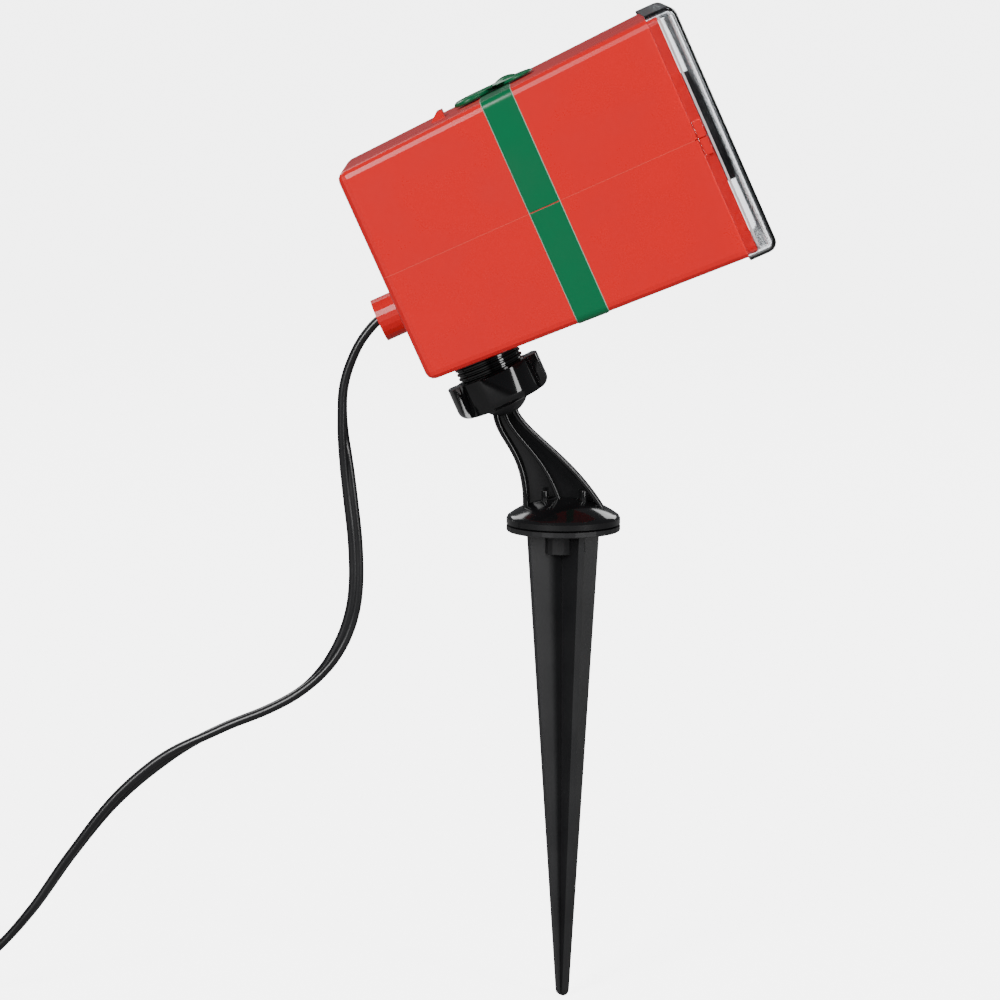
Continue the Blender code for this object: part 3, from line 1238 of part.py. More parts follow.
def build_tie():
    """A strap round one side of the coil."""
    inner_r = COIL_OUTER - COIL_PITCH * COIL_TURNS_PER_LAYER - LEAD_DIAMETER / 2 - GAP * 2
    outer_r = COIL_OUTER + LEAD_DIAMETER / 2 + GAP * 2
    low = COIL_BASE - LEAD_DIAMETER / 2 - GAP
    high = COIL_BASE + COIL_PITCH * (COIL_LAYERS - 1) + LEAD_DIAMETER / 2 + GAP
    t = TIE_THICKNESS
    strap = soft_block((inner_r - t, -TIE_WIDTH / 2, low - t), (outer_r + t, TIE_WIDTH / 2, high + t),
                       t * 0.8, 1)
    tie = node("lead_tie", strap, DULL_BLACK, False)
    cut(tie, block((inner_r, -TIE_WIDTH, low), (outer_r, TIE_WIDTH, high)))
    tie.matrix_world = at(COIL_CENTRE.x, COIL_CENTRE.y, 0.0) @ Matrix.Rotation(TIE_ANGLE, 4, "Z")
    return tie


clear_scene()
head_frame = bpy.data.objects.new("head_frame", None)
head_frame.matrix_world = head_place
scene_collection.objects.link(head_frame)

build_stake()
build_arm()
build_ball_fittings()
in_head(*build_shells())
in_head(*build_screws())
in_head(*build_ribbon())
in_head(*build_bow())
in_head(build_cover())
in_head(*build_front())
in_head(*build_drum())
in_head(*build_drive())
in_head(*build_lamp())
in_head(*build_driver())
in_head(*build_lead_entry())
in_head(build_socket())
in_head(build_knob())
free_lead, wound_lead, lead_end, lead_heading = build_lead()
build_plug(lead_end, lead_heading)
build_tie()
bpy.context.view_layer.update()
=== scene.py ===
import math

import bmesh
import bpy
from mathutils import Matrix, Vector


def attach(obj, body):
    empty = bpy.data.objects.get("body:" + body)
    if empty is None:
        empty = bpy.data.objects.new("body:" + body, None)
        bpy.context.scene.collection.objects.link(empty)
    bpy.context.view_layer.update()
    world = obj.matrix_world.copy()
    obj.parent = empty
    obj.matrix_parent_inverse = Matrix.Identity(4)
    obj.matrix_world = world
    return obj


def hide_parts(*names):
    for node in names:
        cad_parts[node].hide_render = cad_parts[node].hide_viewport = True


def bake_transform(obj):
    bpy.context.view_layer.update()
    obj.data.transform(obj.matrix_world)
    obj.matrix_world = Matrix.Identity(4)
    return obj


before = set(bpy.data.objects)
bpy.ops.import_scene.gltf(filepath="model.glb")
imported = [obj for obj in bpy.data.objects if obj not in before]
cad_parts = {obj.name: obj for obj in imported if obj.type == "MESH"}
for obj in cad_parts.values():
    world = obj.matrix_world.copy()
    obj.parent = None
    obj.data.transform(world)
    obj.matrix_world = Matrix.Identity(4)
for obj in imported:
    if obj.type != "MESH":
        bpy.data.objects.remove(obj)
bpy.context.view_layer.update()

# The head's own frame: x from the back face to the front, y across, z up from the mid seam
HEAD_TILT = math.radians(24.1)
BACK_CENTRE = Vector((-0.064193, 0.0, 0.268886))
BALL_CENTRE = Vector((-0.0229, 0.0, 0.2258))
TURN = Matrix.Rotation(-HEAD_TILT, 4, "Y")
IN_HEAD = Matrix.Translation(BACK_CENTRE) @ TURN
IN_SOCKET = Matrix.Translation(BALL_CENTRE) @ TURN
HEAD_LENGTH = 0.1240
BACK_HALF = 0.0397
FRONT_HALF = 0.0452
TAPER = math.atan((FRONT_HALF - BACK_HALF) / HEAD_LENGTH)

# Corners closer than these are one corner, and faces within this angle are one flat face
TINY = 0.000001
WELD_GAP = 0.000002
CAD_WELD_GAP = 0.000004
FLAT_WITHIN = math.radians(1.0)


def half_at(x):
    """Half height of the box at a distance from its back face."""
    return BACK_HALF + (FRONT_HALF - BACK_HALF) * x / HEAD_LENGTH


# Selecting, editing and applying steps

def let_go():
    """Leave edit mode with nothing selected."""
    if bpy.context.object and bpy.context.object.mode != "OBJECT":
        bpy.ops.object.mode_set(mode="OBJECT")
    bpy.ops.object.select_all(action="DESELECT")


def take(piece):
    """Select one piece alone and make it the active one."""
    let_go()
    piece.select_set(True)
    bpy.context.view_layer.objects.active = piece


def named(name):
    """Name the piece that was just made."""
    piece = bpy.context.active_object
    piece.name = name
    piece.data.name = name
    return piece


def linked(name, data):
    """A new object in the scene for a mesh, a lamp or a camera."""
    made = bpy.data.objects.new(name, data)
    bpy.context.scene.collection.objects.link(made)
    return made


def edit(piece):
    """Go into edit mode with nothing selected."""
    take(piece)
    bpy.ops.object.mode_set(mode="EDIT")
    bpy.ops.mesh.select_all(action="DESELECT")


def pick(piece, kind, test):
    """In edit mode, select the faces, edges or corners that a test accepts."""
    bpy.ops.mesh.select_mode(type=kind)
    bpy.ops.mesh.select_all(action="DESELECT")
    shape = bmesh.from_edit_mesh(piece.data)
    parts = {"FACE": shape.faces, "EDGE": shape.edges, "VERT": shape.verts}[kind]
    for part in parts:
        if test(part):
            part.select_set(True)
    shape.select_flush_mode()
    bmesh.update_edit_mesh(piece.data)


def apply_steps(piece):
    """Make a piece's modifiers part of its mesh."""
    take(piece)
    for step in list(piece.modifiers):
        bpy.ops.object.modifier_apply(modifier=step.name)


def rounded(piece, width, segments=3, angle=35.0):
    """Round over the edges that turn by more than an angle."""
    step = piece.modifiers.new("rounded", "BEVEL")
    step.width = width
    step.segments = segments
    step.limit_method = "ANGLE"
    step.angle_limit = math.radians(angle)
    step.use_clamp_overlap = True
    apply_steps(piece)
    return piece


def cut_with(piece, tool):
    """Cut one piece out of another and drop the tool."""
    step = piece.modifiers.new("cut", "BOOLEAN")
    step.operation = "DIFFERENCE"
    step.solver = "EXACT"
    step.object = tool
    apply_steps(piece)
    bpy.data.objects.remove(tool, do_unlink=True)


def placed(piece, matrix):
    """Move a piece to its place for good: its object stays at the origin."""
    take(piece)
    bpy.ops.object.transform_apply(location=True, rotation=True, scale=True)
    piece.data.transform(matrix)
    piece.data.update()
    return piece


def outward(piece):
    """Weld close corners and turn every face outward."""
    edit(piece)
    bpy.ops.mesh.select_all(action="SELECT")
    bpy.ops.mesh.remove_doubles(threshold=WELD_GAP)
    bpy.ops.mesh.normals_make_consistent(inside=False)
    let_go()


def smooth(piece, angle=32.0):
    """Shade smooth across edges that turn by less than an angle."""
    take(piece)
    bpy.ops.object.shade_smooth_by_angle(angle=math.radians(angle))


def evened_shading(piece):
    """Keep flat faces flat in the light where they run into small rounded edges."""
    step = piece.modifiers.new("shading", "WEIGHTED_NORMAL")
    step.keep_sharp = True
    step.weight = 100
    apply_steps(piece)


def turned(name, profile, steps=96):
    """A closed outline of (radius, height) points, turned once about the upright axis."""
    mesh = bpy.data.meshes.new(name)
    count = len(profile)
    edges = [(i, i + 1) for i in range(count - 1)]
    if profile[0][0] > TINY or profile[-1][0] > TINY:
        edges.append((count - 1, 0))
    mesh.from_pydata([(r, 0.0, z) for r, z in profile], edges, [])
    piece = linked(name, mesh)
    step = piece.modifiers.new("turned", "SCREW")
    step.axis = "Z"
    step.angle = math.radians(360.0)
    step.steps = steps
    step.render_steps = steps
    step.use_merge_vertices = True
    step.merge_threshold = TINY
    apply_steps(piece)
    outward(piece)
    return piece


def lofted(name, rings):
    """Rings of the same number of points, joined in order and closed at both ends."""
    mesh = bpy.data.meshes.new(name)
    size = len(rings[0])
    corners = [tuple(p) for ring in rings for p in ring]
    faces = [tuple(range(size)), tuple(len(corners) - size + i for i in range(size))]
    for row in range(len(rings) - 1):
        for i in range(size):
            j = (i + 1) % size
            a = row * size
            faces.append((a + i, a + j, a + size + j, a + size + i))
    mesh.from_pydata(corners, [], faces)
    piece = linked(name, mesh)
    outward(piece)
    return piece


def cylinder(name, sides, radius, depth, place):
    """An upright cylinder about a middle point."""
    let_go()
    bpy.ops.mesh.primitive_cylinder_add(vertices=sides, radius=radius, depth=depth, location=place)
    return named(name)


def joined(name, pieces):
    """Several pieces made into one object."""
    let_go()
    for piece in pieces:
        piece.select_set(True)
    bpy.context.view_layer.objects.active = pieces[0]
    bpy.ops.object.join()
    return named(name)


def bezier(a, b, c, d, steps):
    """Points along a curve from a to d that b and c pull on."""
    found = []
    for i in range(steps + 1):
        t = i / steps
        found.append(a * (1 - t) ** 3 + b * 3 * t * (1 - t) ** 2 + c * 3 * t * t * (1 - t) + d * t ** 3)
    return found


def ball_profile(radius, start, end, steps):
    """(radius, height) points on a ball between two angles from its top."""
    return [(radius * math.sin(start + (end - start) * i / steps),
             radius * math.cos(start + (end - start) * i / steps)) for i in range(steps + 1)]


def gently(size, share):
    """As much of a size as a share gives, slow at the start and at the end."""
    return size * share * share * (3 - 2 * share)


def direction_at(points, i):
    """The way that a line runs at one of its points."""
    before = points[max(i - 1, 0)]
    after = points[min(i + 1, len(points) - 1)]
    return (after - before).normalized()


def softened(node, name, width):
    """The CAD solid's own shape with its sharp edges rounded over."""
    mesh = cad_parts[node].data.copy()
    piece = linked(name, mesh)
    mesh.name = name
    mesh.materials.clear()
    edit(piece)
    bpy.ops.mesh.select_all(action="SELECT")
    bpy.ops.mesh.customdata_custom_splitnormals_clear()
    bpy.ops.mesh.remove_doubles(threshold=CAD_WELD_GAP)
    bpy.ops.mesh.dissolve_limited(angle_limit=FLAT_WITHIN)
    let_go()
    return rounded(piece, width, 2)


# Finishes

SURFACE_INPUTS = (("Colour", "NodeSocketColor"), ("Shade", "NodeSocketColor"), ("Drift", "NodeSocketFloat"),
                  ("Grain", "NodeSocketFloat"), ("Smooth", "NodeSocketFloat"), ("Rough", "NodeSocketFloat"))
SURFACE_OUTPUTS = (("Colour", "NodeSocketColor"), ("Roughness", "NodeSocketFloat"),
                   ("Height", "NodeSocketFloat"))
GRAIN_DEPTH = 0.00004
COAT_ROUGHNESS = 0.05
LIGHT_PASSED = 0.85


def give(node, values):
    """Set a node's inputs by their names."""
    for name, value in values.items():
        node.inputs[name].default_value = value


def worked(tree, operation, *given):
    """The outcome of a sum on numbers and on other nodes' outputs."""
    node = tree.nodes.new("ShaderNodeMath")
    node.operation = operation
    for socket, value in zip(node.inputs, given):
        if isinstance(value, float):
            socket.default_value = value
        else:
            tree.links.new(value, socket)
    return node.outputs["Value"]


def moulded_surface():
    """Slow drift of colour and a fine grain, as moulded plastic and rubber show."""
    group = bpy.data.node_groups.new("moulded_surface", "ShaderNodeTree")
    for way, sockets in (("INPUT", SURFACE_INPUTS), ("OUTPUT", SURFACE_OUTPUTS)):
        for name, kind in sockets:
            group.interface.new_socket(name=name, in_out=way, socket_type=kind)
    nodes = group.nodes
    link = group.links.new
    given = nodes.new("NodeGroupInput")
    out = nodes.new("NodeGroupOutput")
    place = nodes.new("ShaderNodeTexCoord")
    drift = nodes.new("ShaderNodeTexNoise")
    give(drift, {"Detail": 3.0, "Roughness": 0.45})
    link(place.outputs["Object"], drift.inputs["Vector"])
    link(given.outputs["Drift"], drift.inputs["Scale"])
    grain = nodes.new("ShaderNodeTexNoise")
    give(grain, {"Detail": 4.0})
    link(place.outputs["Object"], grain.inputs["Vector"])
    link(given.outputs["Grain"], grain.inputs["Scale"])
    spread = nodes.new("ShaderNodeMapRange")
    give(spread, {"From Min": 0.32, "From Max": 0.68})
    link(drift.outputs["Fac"], spread.inputs["Value"])
    mixed = nodes.new("ShaderNodeMix")
    mixed.data_type = "RGBA"
    link(spread.outputs["Result"], mixed.inputs["Factor"])
    link(given.outputs["Colour"], mixed.inputs["A"])
    link(given.outputs["Shade"], mixed.inputs["B"])
    link(mixed.outputs["Result"], out.inputs["Colour"])
    both = worked(group, "MULTIPLY", grain.outputs["Fac"], spread.outputs["Result"])
    gloss = nodes.new("ShaderNodeMapRange")
    give(gloss, {"From Min": 0.1, "From Max": 0.6})
    link(both, gloss.inputs["Value"])
    link(given.outputs["Smooth"], gloss.inputs["To Min"])
    link(given.outputs["Rough"], gloss.inputs["To Max"])
    link(gloss.outputs["Result"], out.inputs["Roughness"])
    link(grain.outputs["Fac"], out.inputs["Height"])
    return group


SURFACE = moulded_surface()


def finish(name, colour, shade, smooth_end, rough_end, drift=45.0, grain=1400.0, bump=0.08,
           metal=0.0, coat=0.0, specular=0.5, clear=0.0, index=1.5):
    """A material between two colours and two roughnesses, over a fine grain."""
    made = bpy.data.materials.new(name)
    made.use_nodes = True
    nodes = made.node_tree.nodes
    link = made.node_tree.links.new
    shader = nodes["Principled BSDF"]
    group = nodes.new("ShaderNodeGroup")
    group.node_tree = SURFACE
    give(group, {"Colour": (*colour, 1.0), "Shade": (*shade, 1.0), "Drift": drift, "Grain": grain,
                 "Smooth": smooth_end, "Rough": rough_end})
    raised = nodes.new("ShaderNodeBump")
    give(raised, {"Strength": bump, "Distance": GRAIN_DEPTH})
    link(group.outputs["Height"], raised.inputs["Height"])
    link(raised.outputs["Normal"], shader.inputs["Normal"])
    link(group.outputs["Colour"], shader.inputs["Base Color"])
    link(group.outputs["Roughness"], shader.inputs["Roughness"])
    give(shader, {"Metallic": metal, "Coat Weight": coat, "Coat Roughness": COAT_ROUGHNESS,
                  "Specular IOR Level": specular, "Transmission Weight": clear, "IOR": index})
    return made


# Each finish: two colours, the smoothest and the roughest it gets, then what sets it apart
red_plastic = finish("red_plastic", (0.72, 0.007, 0.009), (0.67, 0.006, 0.008), 0.26, 0.36, specular=0.4)
# A lighter red for the seam tongue: a painted highlight along the seam
seam_highlight_red = finish("seam_highlight_red", (0.76, 0.045, 0.036), (0.70, 0.038, 0.030), 0.30, 0.40)
green_plastic = finish("green_plastic", (0.0, 0.135, 0.048), (0.0, 0.120, 0.042), 0.28, 0.38,
                       specular=0.4)
gloss_black = finish("gloss_black", (0.005, 0.005, 0.0055), (0.007, 0.007, 0.0075), 0.09, 0.17,
                     grain=700.0, bump=0.04)
ball_black = finish("ball_black", (0.010, 0.010, 0.011), (0.013, 0.013, 0.014), 0.50, 0.62,
                    grain=2600.0, bump=0.2)
stake_black = finish("stake_black", (0.011, 0.011, 0.012), (0.015, 0.015, 0.016), 0.34, 0.46,
                     grain=1800.0, bump=0.18)
lead_jacket = finish("lead_jacket", (0.007, 0.007, 0.008), (0.010, 0.010, 0.011), 0.26, 0.38,
                     grain=2200.0, bump=0.12)
barrel_black = finish("barrel_black", (0.010, 0.010, 0.011), (0.014, 0.014, 0.015), 0.40, 0.52,
                      grain=2400.0, bump=0.15)
soft_rubber = finish("soft_rubber", (0.020, 0.020, 0.021), (0.026, 0.026, 0.027), 0.60, 0.75,
                     grain=1600.0, bump=0.2)
pale_seal = finish("pale_seal", (0.74, 0.66, 0.65), (0.66, 0.58, 0.57), 0.45, 0.6, grain=1500.0, bump=0.15)
acetal_white = finish("acetal_white", (0.80, 0.80, 0.77), (0.76, 0.76, 0.73), 0.38, 0.50, bump=0.1)
zinc_steel = finish("zinc_steel", (0.60, 0.60, 0.61), (0.52, 0.52, 0.54), 0.24, 0.42,
                    grain=900.0, metal=1.0)
pressed_aluminium = finish("pressed_aluminium", (0.72, 0.72, 0.73), (0.64, 0.64, 0.66), 0.30, 0.46,
                           metal=1.0)
turned_brass = finish("turned_brass", (0.78, 0.56, 0.24), (0.70, 0.48, 0.19), 0.22, 0.38, metal=1.0)
board_green = finish("board_green", (0.012, 0.14, 0.05), (0.02, 0.20, 0.08), 0.30, 0.45,
                     drift=220.0, coat=0.3)
board_white = finish("board_white", (0.82, 0.82, 0.80), (0.75, 0.75, 0.73), 0.35, 0.5)
phosphor = finish("phosphor", (0.90, 0.72, 0.20), (0.84, 0.62, 0.14), 0.35, 0.5, drift=300.0)
capacitor_sleeve = finish("capacitor_sleeve", (0.02, 0.03, 0.09), (0.03, 0.04, 0.12), 0.2, 0.32, coat=0.4)
winding_tape = finish("winding_tape", (0.62, 0.47, 0.10), (0.52, 0.38, 0.07), 0.35, 0.5, drift=120.0)
terminal_green = finish("terminal_green", (0.03, 0.22, 0.09), (0.02, 0.17, 0.07), 0.35, 0.48)
clear_cover = finish("clear_cover", (0.68, 0.69, 0.70), (0.65, 0.66, 0.68), 0.02, 0.05,
                     grain=300.0, bump=0.02, clear=1.0, index=1.58)
lens_glass = finish("lens_glass", (0.97, 0.98, 0.98), (0.95, 0.97, 0.98), 0.01, 0.03,
                    grain=300.0, bump=0.0, clear=1.0, index=1.5)
# A pale green for the bands along the ribbon's edges: a painted highlight
edge_highlight_green = finish("edge_highlight_green", (0.26, 0.46, 0.35), (0.22, 0.42, 0.31), 0.35, 0.45)


def let_light_through(look):
    """Light passes straight through to what lies behind, as thin clear plastic lets it."""
    tree = look.node_tree
    path = tree.nodes.new("ShaderNodeLightPath")
    held = worked(tree, "MULTIPLY_ADD", path.outputs["Is Shadow Ray"], -LIGHT_PASSED, 1.0)
    tree.links.new(held, tree.nodes["Principled BSDF"].inputs["Alpha"])


let_light_through(clear_cover)
let_light_through(lens_glass)

# Screws, nuts and every other solid that has no row here are zinc-plated steel
FINISHES = {
    "upper_shell": red_plastic, "lower_shell": red_plastic, "upper_ribbon": green_plastic,
    "lower_ribbon": green_plastic, "bow_loops": green_plastic, "bow_knot": green_plastic,
    "front_cover": clear_cover, "cover_seal": pale_seal, "front_mask": barrel_black,
    "lens_barrel": barrel_black, "lens_ring": barrel_black, "projection_lens": lens_glass,
    "condenser_lens": lens_glass, "condenser_holder": barrel_black, "pattern_drum": barrel_black,
    "drum_gear": acetal_white, "motor_pinion": turned_brass, "led_bracket": pressed_aluminium,
    "led_board": board_white, "led_chip": phosphor, "driver_board": board_green,
    "driver_capacitor": capacitor_sleeve, "driver_transformer": winding_tape,
    "terminal_block": terminal_green, "lead_grommet": soft_rubber, "lead_clamp": gloss_black,
    "inner_lead": lead_jacket, "lead_free": lead_jacket, "lead_coil": lead_jacket,
    "lead_tie": soft_rubber, "plug_body": soft_rubber, "plug_blade_left": turned_brass,
    "plug_blade_right": turned_brass, "ball_socket": gloss_black, "clamp_knob": gloss_black,
    "ball_pad": acetal_white, "ball_ring": acetal_white, "ball_arm": gloss_black,
    "ground_stake": stake_black,
}


def dressed(piece, look, angle=32.0):
    """Give a piece its material and its smooth shading."""
    piece.data.materials.clear()
    piece.data.materials.append(look)
    smooth(piece, angle)


def ready(piece, body, node_names, look, angle=32.0):
    """Finish a piece: its material, its body and the solids that it stands for."""
    dressed(piece, look, angle)
    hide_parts(*node_names)
    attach(piece, body)


for node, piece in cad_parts.items():
    piece.data.materials.clear()
    piece.data.materials.append(FINISHES.get(node, zinc_steel))


# Camera, floor, sky and lamps

CAMERA_PLACE = (-0.023, -1.4002, 0.3893)
CAMERA_DOWN = 8.3
SENSOR_WIDTH = 36.0
FOCAL_LENGTH = 140.3
NEAR_CLIP = 0.01
FAR_CLIP = 200.0
FLOOR_SIZE = 60.0
FLOOR_HEIGHT = -0.0003
FLOOR_DULL = (0.30, 0.30, 0.30, 1.0)
FLOOR_PALE = (0.92, 0.92, 0.92, 1.0)
WHITE = (1.0, 1.0, 1.0, 1.0)
FLOOR_GLOW = 5.0
SKY_GLOW = 5.0
SKY_LIGHT = 0.14
SKY_COLOUR = (0.85, 0.88, 0.92, 1.0)

# Name, place, what it faces, width, height and power in watts
LAMPS = (
    ("key", (-0.9, -1.5, 1.0), (0.0, 0.0, 0.22), 0.55, 1.1, 36.0),
    ("fill", (1.2, -1.2, 0.7), (0.0, 0.0, 0.2), 0.40, 1.2, 19.0),
    ("back_left", (-1.1, 1.4, 1.2), (0.0, 0.0, 0.2), 0.8, 0.8, 9.0),
    ("back_right", (1.0, 1.5, 1.1), (0.0, 0.0, 0.2), 0.8, 0.8, 9.0),
    ("overhead", (0.1, 0.5, 1.9), (0.0, 0.0, 0.1), 0.6, 0.4, 4.0),
)

camera_data = bpy.data.cameras.new("camera")
camera = linked("camera", camera_data)
camera.location = CAMERA_PLACE
camera.rotation_euler = (math.radians(90.0 - CAMERA_DOWN), 0.0, 0.0)
camera_data.sensor_width = SENSOR_WIDTH
camera_data.lens = FOCAL_LENGTH
camera_data.clip_start = NEAR_CLIP
camera_data.clip_end = FAR_CLIP
bpy.context.scene.camera = camera

let_go()
bpy.ops.mesh.primitive_plane_add(size=FLOOR_SIZE, location=(0.0, 0.0, FLOOR_HEIGHT))
floor = named("floor")
floor_look = bpy.data.materials.new("pale_floor")
floor_look.use_nodes = True
floor_tree = floor_look.node_tree
floor_shader = floor_tree.nodes["Principled BSDF"]
give(floor_shader, {"Roughness": 0.9, "Specular IOR Level": 0.1, "Emission Color": WHITE})


def in_sight(tree):
    """One where floor or sky is looked at, also through clear plastic; none in a reflection."""
    path = tree.nodes.new("ShaderNodeLightPath")
    turns = worked(tree, "ADD", path.outputs["Diffuse Depth"], path.outputs["Glossy Depth"])
    unscattered = worked(tree, "LESS_THAN", turns, 0.5)
    through_clear = worked(tree, "MULTIPLY", path.outputs["Is Transmission Ray"], unscattered)
    return worked(tree, "MAXIMUM", path.outputs["Is Camera Ray"], through_clear)


pale = floor_tree.nodes.new("ShaderNodeMix")
pale.data_type = "RGBA"
give(pale, {"A": FLOOR_DULL, "B": FLOOR_PALE})
floor_seen = in_sight(floor_tree)
glow = worked(floor_tree, "MULTIPLY", floor_seen, FLOOR_GLOW)
floor_tree.links.new(floor_seen, pale.inputs["Factor"])
floor_tree.links.new(pale.outputs["Result"], floor_shader.inputs["Base Color"])
floor_tree.links.new(glow, floor_shader.inputs["Emission Strength"])
floor.data.materials.append(floor_look)

world = bpy.data.worlds.new("studio")
bpy.context.scene.world = world
world.use_nodes = True
sky = world.node_tree
bright = sky.nodes["Background"]
give(bright, {"Color": WHITE, "Strength": SKY_GLOW})
dim = sky.nodes.new("ShaderNodeBackground")
give(dim, {"Color": SKY_COLOUR, "Strength": SKY_LIGHT})
shown = sky.nodes.new("ShaderNodeMixShader")
sky.links.new(in_sight(sky), shown.inputs["Fac"])
sky.links.new(dim.outputs["Background"], shown.inputs[1])
sky.links.new(bright.outputs["Background"], shown.inputs[2])
sky.links.new(shown.outputs["Shader"], sky.nodes["World Output"].inputs["Surface"])


def soft_box(name, place, target, width, height, power):
    """A wide lamp that faces a point."""
    data = bpy.data.lights.new(name, "AREA")
    data.shape = "RECTANGLE"
    data.size = width
    data.size_y = height
    data.energy = power
    lamp = linked(name, data)
    lamp.location = place
    lamp.rotation_euler = (Vector(target) - Vector(place)).to_track_quat("-Z", "Y").to_euler()


for lamp_row in LAMPS:
    soft_box(*lamp_row)


# Supply lead: flat, two cores side by side

LEAD_WIDTH = 0.0055
LEAD_THICKNESS = 0.0033
CORE_RADIUS = LEAD_THICKNESS / 2
CORE_OFFSET = (LEAD_WIDTH - LEAD_THICKNESS) / 2
CORE_STEPS = 12

# (x, z) places that the free run passes through, in the middle plane
ROUTE = (
    (-0.0650, 0.2511), (-0.0678, 0.2498), (-0.0730, 0.2433), (-0.0766, 0.2361), (-0.0790, 0.2288),
    (-0.0800, 0.2215), (-0.0799, 0.2106), (-0.0788, 0.1995), (-0.0772, 0.1850), (-0.0757, 0.1700),
    (-0.0754, 0.1556), (-0.0768, 0.1440), (-0.0806, 0.1330), (-0.0870, 0.1228), (-0.0960, 0.1143),
    (-0.1080, 0.1076), (-0.1252, 0.1005), (-0.1450, 0.0900), (-0.1640, 0.0740), (-0.1810, 0.0530),
    (-0.1960, 0.0320), (-0.2110, 0.0160), (-0.2270, 0.0070), (-0.2420, 0.0042), (-0.2550, 0.0034),
    (-0.2700, 0.0034), (-0.2960, 0.0034),
)
ROUTE_PARTS = 14
ROUTE_STEP = 0.0022

# Twist of the wide side at places along the free run: (share of its length, degrees)
TWIST = ((0.0, 0.0), (0.09, 5.0), (0.19, 90.0), (0.29, 95.0), (0.385, 178.0), (0.47, 182.0),
         (0.535, 236.0), (0.66, 200.0), (0.80, 180.0), (0.90, 186.0), (1.0, 270.0))

# Shares of the free run where its three pieces end
TOP_SHARE = 0.115
DROP_SHARE = 0.36
FALL_SHARE = 0.80

COIL_OUTER = 0.0310
COIL_CENTRE = Vector((-0.2960, COIL_OUTER, 0.0))
COIL_LAYERS = 4
TURNS_PER_LAYER = 2
TURN_STEP = 0.0039
LAYER_STEP = 0.0057
COIL_BASE = 0.0034
COIL_TURN_POINTS = 40
# Parts of a turn: the last one, which opens outward, and the one in which a layer changes
LAST_PART = 0.5
LAST_OPENING = 0.0045
CHANGE_PART = 0.5

PLUG_AXIS = 0.0086
PLUG_AHEAD = 0.0270
TAIL_EASE = 0.0113
TAIL_STEPS = 24


def through(points):
    """Close points on a smooth curve through the given ones."""
    found = []
    last = len(points) - 1
    for i in range(last):
        before, a = points[max(i - 1, 0)], points[i]
        b, after = points[i + 1], points[min(i + 2, last)]
        for k in range(ROUTE_PARTS):
            t = k / ROUTE_PARTS
            found.append(0.5 * ((2 * a) + (b - before) * t + (2 * before - 5 * a + 4 * b - after) * t * t
                                + (3 * a - before - 3 * b + after) * t ** 3))
    found.append(points[-1])
    return found


def evened(points, step):
    """The same line with its points a fixed step apart."""
    total = sum((b - a).length for a, b in zip(points, points[1:]))
    count = max(2, round(total / step))
    found = [points[0]]
    run = 0.0
    for a, b in zip(points, points[1:]):
        length = (b - a).length
        while len(found) < count and run + length >= total * len(found) / count:
            found.append(a.lerp(b, (total * len(found) / count - run) / length))
        run += length
    found.append(points[-1])
    return found


def eased(table, share):
    """A value between the rows of a table, without a kink at any row."""
    for (x0, y0), (x1, y1) in zip(table, table[1:]):
        if share <= x1:
            return y0 + gently(y1 - y0, (share - x0) / (x1 - x0))
    return table[-1][1]


def lead_section():
    """Two round cores side by side in one jacket, with a groove between them."""
    meet = math.acos(CORE_OFFSET / CORE_RADIUS)
    reach = math.pi - meet
    angles = [-reach + 2 * reach * i / CORE_STEPS for i in range(CORE_STEPS + 1)]
    side = [(CORE_OFFSET + CORE_RADIUS * math.cos(a), CORE_RADIUS * math.sin(a)) for a in angles]
    return side + [(-x, -y) for x, y in side[:-1]]


def lead_piece(name, points, wides):
    """A run of lead along a line, with its wide side turned as given at each point."""
    section = lead_section()
    rings = []
    for i, point in enumerate(points):
        along = direction_at(points, i)
        wide = (wides[i] - along * wides[i].dot(along)).normalized()
        thin = along.cross(wide)
        rings.append([point + wide * x + thin * y for x, y in section])
    piece = lofted(name, rings)
    dressed(piece, lead_jacket, 60.0)
    return piece


def coil_line():
    """The coiled lead's middle line: layers of turns that run in and out, then an open end."""
    points = []
    full_turns = COIL_LAYERS * TURNS_PER_LAYER
    steps = round((full_turns + LAST_PART) * COIL_TURN_POINTS)
    for i in range(steps + 1):
        t = i / COIL_TURN_POINTS
        layer = min(int(t / TURNS_PER_LAYER), COIL_LAYERS - 1)
        drawn = TURN_STEP * (t - layer * TURNS_PER_LAYER)
        radius = COIL_OUTER - drawn
        if layer % 2:
            radius = COIL_OUTER - TURN_STEP * TURNS_PER_LAYER + drawn
        radius += LAST_OPENING * max(0.0, t - full_turns) / LAST_PART
        height = 0.0
        for change in range(1, COIL_LAYERS):
            share = min(1.0, max(0.0, (t - change * TURNS_PER_LAYER) / CHANGE_PART + 0.5))
            height += gently(LAYER_STEP, share)
        angle = -math.pi / 2 - 2 * math.pi * t
        points.append(COIL_CENTRE + Vector((radius * math.cos(angle), radius * math.sin(angle),
                                            COIL_BASE + height)))
    return points


coil = coil_line()
free_line = evened(through([Vector((x, 0.0, z)) for x, z in ROUTE]), ROUTE_STEP)
free_last = len(free_line) - 1
free_wides = []
for i in range(len(free_line)):
    across = Vector((0.0, 1.0, 0.0))
    up = direction_at(free_line, i).cross(across)
    angle = math.radians(eased(TWIST, i / free_last))
    free_wides.append(across * math.cos(angle) + up * math.sin(angle))

top_end = round(free_last * TOP_SHARE)
drop_end = round(free_last * DROP_SHARE)
fall_end = round(free_last * FALL_SHARE)
top_line = free_line[:top_end + 1]
drop_line = free_line[top_end:drop_end + 1]
fall_line = free_line[drop_end:fall_end + 1]
lead_top = lead_piece("lead_top", top_line, free_wides[:top_end + 1])
lead_drop = lead_piece("lead_drop", drop_line, free_wides[top_end:drop_end + 1])
lead_fall = lead_piece("lead_fall", fall_line, free_wides[drop_end:fall_end + 1])

